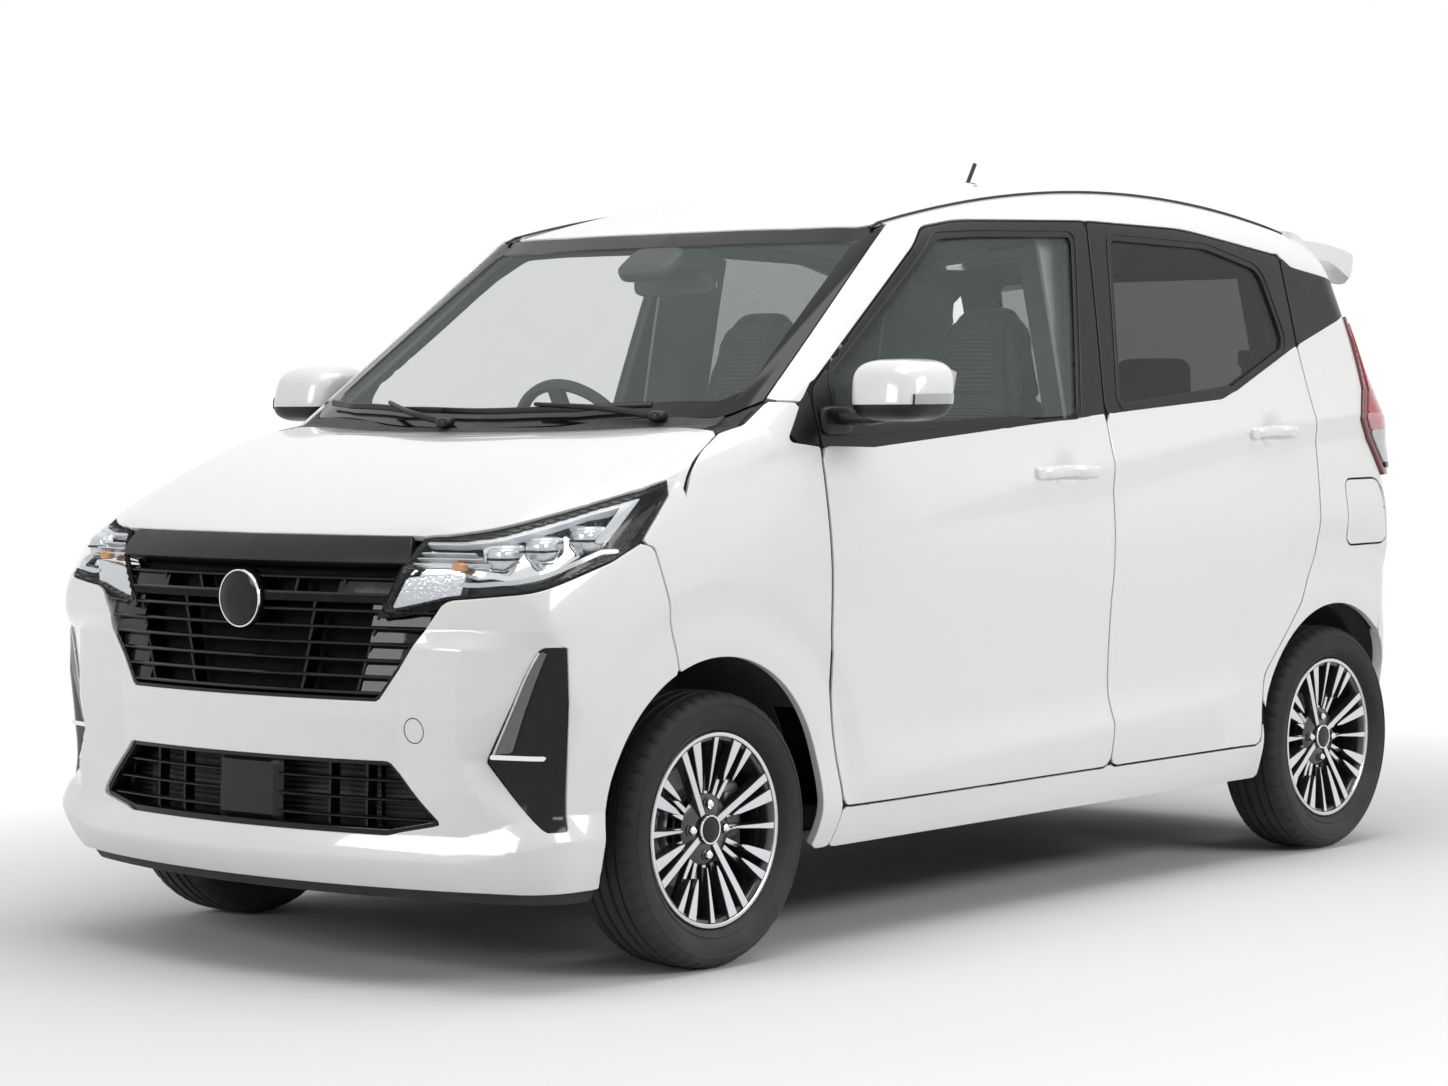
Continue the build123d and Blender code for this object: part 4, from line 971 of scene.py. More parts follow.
def add_lamp(name, place, aim, size, power):
    """Soft rectangular lamp that points at a spot."""
    data = bpy.data.lights.new(name, "AREA")
    data.shape = "RECTANGLE"
    data.size, data.size_y = size
    data.energy = power
    lamp = bpy.data.objects.new(name, data)
    bpy.context.scene.collection.objects.link(lamp)
    back = np.array(place, float) - np.array(aim, float)
    back /= np.linalg.norm(back)
    side = np.cross([0.0, 0.0, 1.0], back)
    side = side / np.linalg.norm(side) if np.linalg.norm(side) > 1e-6 else np.array([1.0, 0.0, 0.0])
    axes = np.stack([side, np.cross(back, side), back], axis=1)
    lamp.matrix_world = Matrix.Translation(list(place)) @ Matrix(axes.tolist()).to_4x4()


def backdrop_rays(nodes, links):
    """One for rays that the camera sends straight, off a gloss or through glass, and zero for the others."""
    path = put(nodes, links, "ShaderNodeLightPath")
    kinds = [path.outputs[kind] for kind in ("Is Camera Ray", "Is Glossy Ray", "Is Transmission Ray")]
    total = kinds[0]
    for kind in kinds[1:]:
        total = put(nodes, links, "ShaderNodeMath", [(0, total), (1, kind)], operation="MAXIMUM").outputs[0]
    return total


def add_world(level):
    """White backdrop that the camera, gloss and glass see; soft daylight, brighter from above, elsewhere."""
    world = bpy.data.worlds.new("studio")
    bpy.context.scene.world = world
    world.use_nodes = True
    nodes, links = world.node_tree.nodes, world.node_tree.links
    light = nodes["Background"]
    place = put(nodes, links, "ShaderNodeTexCoord").outputs["Generated"]
    split = put(nodes, links, "ShaderNodeSeparateXYZ", [("Vector", place)])
    tone = put(nodes, links, "ShaderNodeMapRange", [
        ("Value", split.outputs["Z"]), ("From Min", -0.1), ("From Max", 0.9), ("To Min", 0.32),
        ("To Max", 1.0)])
    links.new(tone.outputs["Result"], light.inputs["Color"])
    light.inputs["Strength"].default_value = level
    white = put(nodes, links, "ShaderNodeBackground", [("Color", (1, 1, 1, 1)), ("Strength", 1.0)])
    mix = put(nodes, links, "ShaderNodeMixShader")
    links.new(backdrop_rays(nodes, links), mix.inputs[0])
    links.new(light.outputs[0], mix.inputs[1])
    links.new(white.outputs[0], mix.inputs[2])
    links.new(mix.outputs[0], nodes["World Output"].inputs["Surface"])


def add_floor():
    """Pale studio floor, a wide sheet with a gentle outer rise."""
    r = np.concatenate([np.linspace(0, 6, 25), np.linspace(7, 30, 24)])
    angle = np.linspace(0, 2 * np.pi, 97)[:-1]
    rr, aa = np.meshgrid(r[1:], angle, indexing="ij")
    z = -0.0005 + 0.002 * np.clip(rr - 22, 0, None) ** 2
    p = np.stack([rr * np.cos(aa), rr * np.sin(aa), z], axis=-1)
    shape = Shape().grid(p, wrap_v=True, flip=True)
    centre = np.arange(len(angle)).tolist()
    shape.faces.append(centre)
    shape.slots.append(0)
    mesh = bpy.data.meshes.new("floor")
    mesh.from_pydata(np.vstack(shape.points).tolist(), [], shape.faces)
    mesh.materials.append(finish("floor"))
    floor = bpy.data.objects.new("floor", mesh)
    bpy.context.scene.collection.objects.link(floor)
    whiten(finish("floor"))


FLOOR_STRETCH = (0.62, 1.0, 0.0)
FADE_START, FADE_END = 1.0, 2.6


def whiten(mat):
    """Floor that fades to the white backdrop away from the car, for the rays that see the backdrop."""
    nodes, links = mat.node_tree.nodes, mat.node_tree.links
    shader, output = nodes["Principled BSDF"], nodes["Material Output"]
    place = put(nodes, links, "ShaderNodeTexCoord").outputs["Object"]
    squeezed = put(nodes, links, "ShaderNodeVectorMath", [(0, place), (1, FLOOR_STRETCH)],
                   operation="MULTIPLY")
    away = put(nodes, links, "ShaderNodeVectorMath", [(0, squeezed.outputs[0])], operation="LENGTH")
    fade = put(nodes, links, "ShaderNodeMapRange", [("Value", away.outputs["Value"]),
                                                    ("From Min", FADE_START),
                                                    ("From Max", FADE_END)])
    both = put(nodes, links, "ShaderNodeMath", [(0, fade.outputs["Result"]),
                                                (1, backdrop_rays(nodes, links))],
               operation="MULTIPLY")
    white = put(nodes, links, "ShaderNodeEmission", [("Color", (1, 1, 1, 1)), ("Strength", 1.0)])
    mix = put(nodes, links, "ShaderNodeMixShader", [(0, both.outputs[0])])
    links.new(shader.outputs[0], mix.inputs[1])
    links.new(white.outputs[0], mix.inputs[2])
    links.new(mix.outputs[0], output.inputs["Surface"])


# Body panels
HAIR = 0.0040
SIDE_DOOR_HEM = 0.0016


def side_grid(start, end, low=0.0, high=7.0, step=0.015):
    """Values of x, and of the level up the side, for a panel."""
    rows = SIDE_ROWS[(SIDE_ROWS >= low) & (SIDE_ROWS <= high)]
    return spaced(start, end, step), rows


def cut_points(points):
    """Tests for a side-view outline grown by half a shut line."""
    return side_keep(points, HAIR)


def rear_garnish():
    """Test for points inside the black band behind the rear door's window."""
    return both_of(side_keep(BLACK_ZONE), lambda p: -1.05 - p[:, 0], lambda p: 1.470 - p[:, 2])


def flank_of_body(flap):
    """Skin of the left side: pillars, roof rail, sill and rear quarter, with or without the flap opening."""
    shape = Shape()
    u, v = spaced(-1.70, 0.90, 0.0145), spaced(-56, 66, 0.85)
    arch = arch_keep("rear")
    tests = [side_keep(FRAME_SIDE, -HAIR / 2), plan_keep(FRAME_PLAN, -HAIR / 2)]
    holes = [cut_points(FRONT_DOOR), cut_points(REAR_DOOR), arch, side_keep(CORNER_BLACK)]
    holes.append(rear_garnish())
    if flap:
        holes.append(cut_points(FLAP))
    keep = both_of(*tests, none_of(*holes))
    shape.join(panel(fan, u, v, keep, 0, SIDE_DOOR_HEM, back=0.030, back_slot=1))
    garnish = both_of(side_keep(FRAME_SIDE, -HAIR / 2), rear_garnish(), none_of(cut_points(REAR_DOOR)))
    u, v = side_grid(-1.65, -1.04, low=5.0)
    shape.join(panel(from_side, u, v, garnish, 2, 0.0012, inset=0.0006))
    corner = both_of(side_keep(CORNER_BLACK), none_of(cut_points(FRONT_DOOR)), lambda p: p[:, 0] - 0.727)
    u, v = side_grid(0.70, 0.84, low=4.0, high=6.0, step=0.005)
    shape.join(panel(from_side, u, v, corner, 2, 0.0012, inset=0.001))
    return shape


def door_shape(outline, window, start, end):
    """Left door: white skin below the belt, black frame round the window, and dark inner faces."""
    u, v = side_grid(start, end)
    skin = both_of(side_keep(outline, -HAIR), none_of(side_keep(BLACK_ZONE), side_keep(CORNER_BLACK)))
    shape = panel(from_side, u, v, skin, 0, SIDE_DOOR_HEM, back=0.055, back_slot=2)
    black = lambda p: np.maximum(side_keep(BLACK_ZONE)(p), side_keep(CORNER_BLACK)(p))
    surround = both_of(side_keep(outline, -HAIR), black, none_of(side_keep(window)))
    u, v = side_grid(start, end, low=4.0, step=0.009)
    shape.join(panel(from_side, u, v, surround, 1, 0.0016, inset=0.0012, back=0.030, back_slot=2))
    loop = rounded(window, 0.014)
    loop = np.vstack([loop, loop[:1]])
    run = np.concatenate([[0], np.cumsum(np.linalg.norm(np.diff(loop, axis=0), axis=1))])
    along = np.linspace(0, run[-1], 260)
    path = at_height(np.interp(along, run, loop[:, 0]), np.interp(along, run, loop[:, 1]), -0.0006)
    return tube(shape, path, 0.0016, 1, 8)


def pane(window, start, end):
    """Left side window: a closed pane set in from the frame."""
    u, v = side_grid(start, end, low=4.0, step=0.026)
    return panel(from_side, u, v, side_keep(window, 0.004), 0, 0, 0.0, inset=0.008, back=0.004)


def nose_grid(start, end, low, high, turn=0.75, step=0.008):
    """Plan angles in degrees and heights for a piece of the nose or tail."""
    return spaced(start, end, turn), spaced(low, high, step)


def lamp_keep(grow=0.0):
    """Test for points inside the left headlamp."""
    return both_of(side_keep(LAMP_SIDE, grow), front_keep(LAMP_FRONT, grow))


def mirror_test(test):
    """The same test on the right side."""
    return lambda p: test(p * np.array([1, -1, 1]))


def bumper_front():
    """Front bumper skin round the grille, the intake, the lamps and the bezels."""
    u, v = nose_grid(-83, 83, 0.185, 0.90, 0.85, 0.0085)
    holes = [front_keep(GRILLE_FRONT, 0.001), front_keep(INTAKE_FRONT, 0.001), lamp_keep(HAIR),
             mirror_test(lamp_keep(HAIR)), arch_keep("front")]
    holes += [nose_keep(BEZEL_FRONT, 0.001), mirror_test(nose_keep(BEZEL_FRONT, 0.001))]
    only_front = [lambda p, t=t: np.minimum(t(p), p[:, 0] - 1.45) for t in holes[:2] + holes[5:]]
    keep = both_of(side_keep(BUMPER_SIDE, -HAIR / 2), none_of(*only_front, *holes[2:5]),
                   lambda p: 0.8705 - p[:, 2])
    return panel(round_front, u, v, keep, 0, 0.0026, 0.022)


def bonnet_shape():
    """Bonnet skin with a dark inner face."""
    u, v = spaced(0.955, 1.72, 0.0135), spaced(-0.74, 0.74, 0.0135)
    keep = both_of(lambda p: p[:, 2] - 0.872, plan_keep(BONNET_PLAN, -HAIR),
                   none_of(lamp_keep(HAIR), mirror_test(lamp_keep(HAIR))), lambda p: bonnet_edge(p) - HAIR)
    return panel(from_top, u, v, keep, 0, 0.0026, back=0.016, back_slot=1)


def bonnet_edge(p):
    """Distance inside the side edge of the bonnet and of the cowl; the lamp bounds it further forward."""
    edge = np.interp(p[:, 0], [0.820, 0.969, 1.152, 1.170], [0.643, 0.642, 0.706, 0.900])
    return 0.97 * (edge - np.abs(p[:, 1]))


def fender_shape():
    """Left front fender."""
    u, v = spaced(0.66, 1.30, 0.012), spaced(-54, 58, 0.88)
    lamp = lamp_keep(HAIR)
    keep = both_of(side_keep(FENDER_SIDE, -HAIR),
                   none_of(arch_keep("front"), side_keep(CORNER_BLACK, 0.001), lamp),
                   lambda p: np.where(p[:, 0] < 1.150, -bonnet_edge(p) - HAIR, 1.0))
    return panel(fan, u, v, keep, 0, 0.0026, back=0.012, back_slot=0)


def roof_shape():
    """Roof skin with the headliner as its inner face."""
    u, v = spaced(-1.41, 0.38, 0.020), spaced(-0.535, 0.535, 0.020)
    return panel(from_top, u, v, plan_keep(ROOF_PLAN, -0.001), 0, 0.003, back=0.028, back_slot=1)


def tailgate_shape():
    """Tailgate skin round its window, with a light inner face."""
    u, v = spaced(-0.60, 0.60, 0.014), spaced(0.60, 1.56, 0.013)
    keep = both_of(front_keep(TAILGATE_REAR, -HAIR), none_of(front_keep(TAIL_WINDOW)),
                   lambda p: -1.404 - p[:, 0])
    return panel(from_rear, u, v, keep, 0, 0.0026, back=0.035, back_slot=1)


def bumper_rear():
    """Rear bumper skin below and beside the tailgate."""
    u, v = nose_grid(-82, 82, 0.19, 0.95, 1.1, 0.013)
    keep = both_of(side_keep(REAR_BUMPER_SIDE, -HAIR / 2),
                   none_of(both_of(front_keep(TAILGATE_REAR, HAIR), lambda p: -1.30 - p[:, 0]),
                           arch_keep("rear")))
    return panel(round_back, u, v, keep, 0, 0.003, 0.022)


def screen_panes():
    """Windscreen: clear pane and its printed black border, both closed."""
    u, v = spaced(0.27, 1.04, 0.018), spaced(-0.66, 0.66, 0.018)
    whole, clear = plan_keep(SCREEN_PLAN, -0.004), plan_keep(SCREEN_PLAN, -0.050)
    shape = panel(from_top, u, v, clear, 0, 0, 0.0, inset=0.004, back=0.005)
    return shape.join(panel(from_top, u, v, both_of(whole, none_of(clear)), 1, 0, 0.0, inset=0.004,
                            back=0.005))


def tail_panes():
    """Rear window: dark pane and its printed border."""
    u, v = spaced(-0.53, 0.53, 0.018), spaced(1.05, 1.48, 0.018)
    whole, clear = front_keep(TAIL_WINDOW, 0.004), front_keep(TAIL_WINDOW, -0.028)
    shape = panel(from_rear, u, v, clear, 0, 0, 0.0, inset=0.006, back=0.004)
    return shape.join(panel(from_rear, u, v, both_of(whole, none_of(clear)), 1, 0, 0.0, inset=0.006,
                            back=0.004))


def cowl_shape():
    """Black cowl cover between the bonnet and the windscreen."""
    u, v = spaced(0.79, 1.06, 0.007), spaced(-0.66, 0.66, 0.010)
    keep = both_of(none_of(plan_keep(SCREEN_PLAN, 0.001), plan_keep(BONNET_PLAN, HAIR)),
                   lambda p: 1.058 - p[:, 0], bonnet_edge, lambda p: p[:, 0] - 0.80)
    return panel(from_top, u, v, keep, 0, 0.0015, inset=0.006, back=0.010)


def seals():
    """Near-black strips behind the shut lines of the left doors and round the fuel flap: partly rubber seal,
    partly painted shade in the gaps.
    """
    shape = Shape()
    for outline, start, end in ((FRONT_DOOR, -0.40, 0.75), (REAR_DOOR, -1.25, -0.27)):
        u, v = side_grid(start, end, step=0.012)
        ring = both_of(side_keep(outline, 0.012), none_of(side_keep(outline, -0.006)))
        shape.join(panel(from_side, u, v, ring, 0, 0.0, 0.004, inset=0.0045))
    u, v = side_grid(-1.56, -1.31, low=3.0, high=5.0, step=0.006)
    return shape.join(panel(from_side, u, v, side_keep(FLAP, 0.008), 0, 0.0, 0.002, inset=0.0045))


def nose_gap_shade():
    """Painted shade: near-black sheets just behind the shut lines round the bonnet, lamps and fenders."""
    u, v = spaced(0.80, 1.70, 0.014), spaced(-0.72, 0.72, 0.014)
    edge = both_of(plan_keep(BONNET_PLAN, 0.012), none_of(plan_keep(BONNET_PLAN, -0.008)))
    keep = lambda p: np.maximum(np.minimum(0.010 - np.abs(bonnet_edge(p)), 1.16 - p[:, 0]), edge(p))
    whole = both_of(keep, none_of(plan_keep(SCREEN_PLAN, 0.01)), lambda p: p[:, 2] - 0.90)
    shape = panel(from_top, u, v, whole, 0, 0.0, 0.004, inset=0.006)
    u, v = nose_grid(-84, 84, 0.20, 1.02, 1.0, 0.010)
    lamps = lambda p: np.maximum(lamp_keep(0.008)(p), mirror_test(lamp_keep(0.008))(p))
    inner = lambda p: np.maximum(lamp_keep(-0.006)(p), mirror_test(lamp_keep(-0.006))(p))
    seam = lambda p: np.minimum(0.008 - np.abs(side_keep(BUMPER_SIDE)(p)), 0.86 - p[:, 2])
    around = both_of(lambda p: np.maximum(lamps(p), seam(p)), none_of(inner, arch_keep("front", 0.004)))
    return shape.join(panel(round_front, u, v, around, 0, 0.0, 0.004, inset=0.007))


# Small forms
def lathe(profile, centre, turns=96):
    """Ring form turned about an axle along Y; profile holds (radius, y) and closes on itself."""
    profile = np.asarray(profile, float)
    angle = np.linspace(0, 2 * np.pi, turns + 1)[:-1]
    r, y = profile[:, 0][None, :], profile[:, 1][None, :]
    a = angle[:, None]
    return np.stack([centre[0] - r * np.sin(a), centre[1] + y + 0 * a, centre[2] + r * np.cos(a)], axis=-1)


def ball_box(centre, half, power=3.0, rows=28, columns=56, tilt=0.0):
    """Soft-cornered block: an ellipsoid whose sections are squared by a power."""
    lat = np.linspace(-np.pi / 2, np.pi / 2, rows)[:, None]
    lon = np.linspace(0, 2 * np.pi, columns + 1)[:-1][None, :]
    shape = lambda value: np.sign(value) * np.abs(value) ** (2 / power)
    level = shape(np.cos(lat))
    x, y, z = level * shape(np.cos(lon)), level * shape(np.sin(lon)), shape(np.sin(lat)) + 0 * lon
    a = np.radians(tilt)
    x, z = x * half[0], z * half[2]
    x, z = x * np.cos(a) - z * np.sin(a), x * np.sin(a) + z * np.cos(a)
    return np.stack([centre[0] + x, centre[1] + y * half[1], centre[2] + z], axis=-1)


def soft(shape, centre, half, power=3.0, slot=0, rows=24, columns=48, tilt=0.0):
    """Append a soft-cornered block to a shape."""
    return shape.grid(ball_box(centre, half, power, rows, columns, tilt), slot, wrap_v=True)


def tube(shape, path, radius, slot=0, sides=12, squash=(1.0, 1.0)):
    """Closed tube round a path; squash sets its width and height as shares of the radius."""
    path = np.asarray(path, float)
    run = np.gradient(path, axis=0)
    run /= np.linalg.norm(run, axis=1, keepdims=True)
    up = np.where(np.abs(run[:, 2:3]) > 0.9, [[1.0, 0, 0]], [[0, 0, 1.0]])
    side = np.cross(run, up)
    side /= np.linalg.norm(side, axis=1, keepdims=True)
    top = np.cross(side, run)
    radius = np.broadcast_to(radius, len(path))[:, None, None]
    a = np.linspace(0, 2 * np.pi, sides + 1)[:-1][None, :, None]
    ring = squash[0] * np.cos(a) * side[:, None] + squash[1] * np.sin(a) * top[:, None]
    return shape.grid(path[:, None] + radius * ring, slot, wrap_v=True, caps=True, flip=True)


def bowed(points, count=40):
    """Smooth path through a few points."""
    points = np.asarray(points, float)
    run = np.concatenate([[0], np.cumsum(np.linalg.norm(np.diff(points, axis=0), axis=1))])
    return eased(np.column_stack([run, points]), np.linspace(0, run[-1], count))


def from_front(u, v):
    """Nose of the body over (y, height), along straight rays."""
    origin = np.stack([np.full_like(u, NOSE_CENTRE), u, v], axis=1)
    return cast(origin, np.array([[1.0, 0.0, 0.0]]), 0.0, 0.75)


def on_skin(project, u, v, out=0.0):
    """Points on the body at (u, v), moved out along the normal."""
    u, v = np.broadcast_arrays(np.asarray(u, float), np.asarray(v, float))
    p = project(u.ravel(), v.ravel())[0]
    return (p + normals_at(p) * out).reshape(*u.shape, 3)


def at_height(x, z, out=0.0):
    """Points on the left side at (x, z), moved out along the normal."""
    x, z = np.broadcast_arrays(np.asarray(x, float), np.asarray(z, float))
    origin = np.stack([x, 0 * x, z], axis=-1).reshape(-1, 3)
    p = cast(origin, np.array([[0.0, 1.0, 0.0]]), 0.0, 0.95)[0]
    return p + normals_at(p) * out


# Wheels and tyres
SIPES = 48
STEPS_PER_SIPE = 5


def tyre_grid(centre):
    """Tyre: a closed section swept round, with four grooves, shoulder sipes and sidewall ribs."""
    tread = settings().tread
    groove = TYRE_R - tread
    anchors = np.array([
        (0.186, 0.0580), (0.196, 0.0590), (0.2000, 0.0665), (0.2080, 0.0740), (0.2120, 0.0775),
        (0.2135, 0.0760), (0.2200, 0.0790), (0.2300, 0.0815), (0.2400, 0.0822), (0.2480, 0.0812),
        (0.2495, 0.0825), (0.2515, 0.0822), (0.2530, 0.0800), (0.2600, 0.0770), (0.2660, 0.0715),
        (0.2700, 0.0650), (0.2725, 0.0580), (0.2735, 0.0530), (0.2740, 0.0450), (0.2743, 0.0440),
        (groove, 0.0430), (groove, 0.0380), (0.2745, 0.0370), (0.2749, 0.0300), (0.2750, 0.0195),
        (groove, 0.0185), (groove, 0.0115), (0.2750, 0.0105)])
    half = np.vstack([anchors, [(0.275, 0.0)]])
    profile = np.vstack([half, half[-2::-1] * [1, -1], [(0.178, -0.045), (0.178, 0.045)]])
    count = SIPES * STEPS_PER_SIPE
    p = lathe(profile, (0, 0, 0), count)
    y = profile[:, 1]
    shoulder = (np.abs(y) > 0.050) & (np.abs(y) < 0.0775) & (profile[:, 0] > 0.262)
    rib = (np.abs(y) < 0.0365) & (np.abs(y) > 0.0200) & (profile[:, 0] > 0.272)
    k = np.arange(count)[:, None]
    depth = 0.75 * tread * (shoulder[None, :] & (k % STEPS_PER_SIPE == np.where(y > 0, 0, 3)[None, :]))
    depth = depth + 0.5 * tread * (rib[None, :] & (k % STEPS_PER_SIPE == 2))
    radius = np.hypot(p[..., 0], p[..., 2])
    scale = (radius - depth) / radius
    p = np.stack([p[..., 0] * scale, p[..., 1], p[..., 2] * scale], axis=-1)
    return p + np.asarray(centre)


def bar_on_wheel(shape, centre, angle, stations, depth=0.020):
    """Straight spoke with a machined face and black flanks; stations hold (radius, half width, height)."""
    s = np.asarray(stations, float)
    r, w, h = s[:, 0:1], s[:, 1:2], s[:, 2:3]
    chamfer = np.minimum(0.0012, w * 0.3)
    t = np.hstack([-w, -w + chamfer, w - chamfer, w, w + 0.002, -w - 0.002])
    y = np.hstack([h - chamfer, h, h, h - chamfer, h - depth, h - depth])
    rr = np.broadcast_to(r, t.shape)
    a = np.radians(angle)
    x = rr * np.sin(a) + t * np.cos(a)
    z = rr * np.cos(a) - t * np.sin(a)
    p = np.stack([centre[0] - x, centre[1] + y, centre[2] + z], axis=-1)
    return shape.grid(p, [1, 0, 1, 1, 1, 1], wrap_v=True, caps=True, flip=True)


# columns: turn in degrees, then stations of (radius, half width, height)
SPOKES = (
    (-30, [(0.034, 0.0075, 0.0475), (0.075, 0.008, 0.052), (0.13, 0.0085, 0.059), (0.184, 0.0095, 0.0645)]),
    (-17, [(0.078, 0.0015, 0.049), (0.095, 0.006, 0.052), (0.14, 0.01, 0.0585), (0.184, 0.0132, 0.064)]),
    (2.5, [(0.076, 0.0012, 0.045), (0.1, 0.0034, 0.05), (0.145, 0.0052, 0.0575), (0.184, 0.0074, 0.0635)]),
    (23, [(0.103, 0.0015, 0.053), (0.118, 0.006, 0.055), (0.15, 0.0098, 0.0595), (0.184, 0.0132, 0.064)]),
    (35.5, [(0.114, 0.0012, 0.0545), (0.128, 0.0045, 0.057), (0.155, 0.0074, 0.0605), (0.184, 0.01, 0.064)]),
)
BACK_SPOKE = [(0.06, 0.006, 0.036), (0.1, 0.0055, 0.038), (0.14, 0.005, 0.042), (0.178, 0.006, 0.048)]


def wheel_shape(c):
    """Left wheel about its centre: dished rim, machined spokes over black pockets, nuts and a plain cap."""
    shape = Shape()
    lip = [(0.1950, 0.0600), (0.1955, 0.0640), (0.1935, 0.0665), (0.1880, 0.0668), (0.1860, 0.0655),
           (0.1845, 0.0600)]
    barrel = [(0.1845, 0.0600), (0.1800, 0.0480), (0.1740, 0.0300), (0.1720, 0.0100), (0.1740, -0.0300),
              (0.1810, -0.0480), (0.1860, -0.0560), (0.1950, -0.0600), (0.1950, -0.0640), (0.1900, -0.0640),
              (0.1860, -0.0620), (0.1800, -0.0540), (0.1780, 0.0100), (0.1860, 0.0540), (0.1950, 0.0600)]
    shape.grid(lathe(lip, c), 0, wrap_u=True)
    shape.grid(lathe(barrel, c), 1, wrap_u=True)
    ledge = [(0.1845, 0.0602), (0.1790, 0.0585), (0.1760, 0.0540), (0.1745, 0.0400)]
    shape.grid(lathe(ledge, c), 1, wrap_u=True)
    hub = [(0.0, 0.0405), (0.024, 0.0405), (0.036, 0.0440), (0.040, 0.0435), (0.066, 0.0400), (0.072, 0.0360),
           (0.074, 0.0200), (0.070, 0.0100), (0.0, 0.0100)]
    shape.grid(lathe(hub, c), 1, wrap_u=True)
    for quarter in range(4):
        base = 90.0 * quarter
        for turn, stations in SPOKES:
            bar_on_wheel(shape, c, base + turn, stations)
        for arm in (2.5, -17, 35.5, 23):
            bar_on_wheel(shape, c, base + arm, BACK_SPOKE, 0.014)
        a = np.radians(base + 2.5)
        spot = (c[0] - 0.050 * np.sin(a), c[1], c[2] + 0.050 * np.cos(a))
        seat = [(0.0135, 0.0412), (0.0135, 0.0440), (0.0105, 0.0445), (0.0105, 0.0400)]
        shape.grid(lathe(seat, spot, 24), 1, wrap_u=True, wrap_v=True)
        nut = [(0.0, 0.0560), (0.0055, 0.0550), (0.0088, 0.0510), (0.0095, 0.0400), (0.0, 0.0400)]
        shape.grid(lathe(nut, spot, 6), 2, wrap_u=True)
    ring = [(0.0270, 0.0440), (0.0300, 0.0515), (0.0290, 0.0535), (0.0262, 0.0530), (0.0255, 0.0500),
            (0.0255, 0.0440)]
    shape.grid(lathe(ring, c), 2, wrap_u=True, wrap_v=True)
    cap = [(0.0, 0.0525), (0.0120, 0.0523), (0.0220, 0.0515), (0.0256, 0.0502), (0.0256, 0.0440),
           (0.0, 0.0440)]
    shape.grid(lathe(cap, c), 3, wrap_u=True)
    return shape


def brake_shape(centre, front):
    """Left brake: vented disc and caliper in front, finned drum behind."""
    shape = Shape()
    if front:
        disc = [(0.0, -0.004), (0.070, -0.004), (0.074, -0.008), (0.078, -0.022), (0.118, -0.022),
                (0.118, -0.028),
                (0.112, -0.029), (0.112, -0.033), (0.118, -0.034), (0.118, -0.040), (0.0, -0.040)]
        shape.grid(lathe(disc, centre), 0, wrap_u=True)
        a = np.radians(78)
        spot = (centre[0] - 0.112 * np.sin(a), centre[1] - 0.012, centre[2] + 0.112 * np.cos(a))
        soft(shape, spot, (0.030, 0.028, 0.062), 5, 1)
        soft(shape, (spot[0] + 0.012, spot[1] + 0.020, spot[2]), (0.017, 0.014, 0.044), 4, 1)
    else:
        drum = [(0.0, -0.010), (0.092, -0.012), (0.100, -0.018), (0.101, -0.026), (0.104, -0.027),
                (0.104, -0.031),
                (0.101, -0.032), (0.101, -0.040), (0.104, -0.041), (0.104, -0.052), (0.0, -0.052)]
        shape.grid(lathe(drum, centre), 1, wrap_u=True)
    return shape


TOW_CAP = (0.438, 0.500)


# Lamps, grilles and trim of the nose
LAMP_LINE = ([1.15, 1.28, 1.572, 1.64], [0.968, 0.935, 0.861, 0.861])
LAMP_STRIP = ([1.378, 1.586], [0.839, 0.779])
LAMP_MODULES = ((1.391, 0.881), (1.476, 0.861), (1.548, 0.845))
AMBER_SPOT = (1.594, 0.521, 0.812)


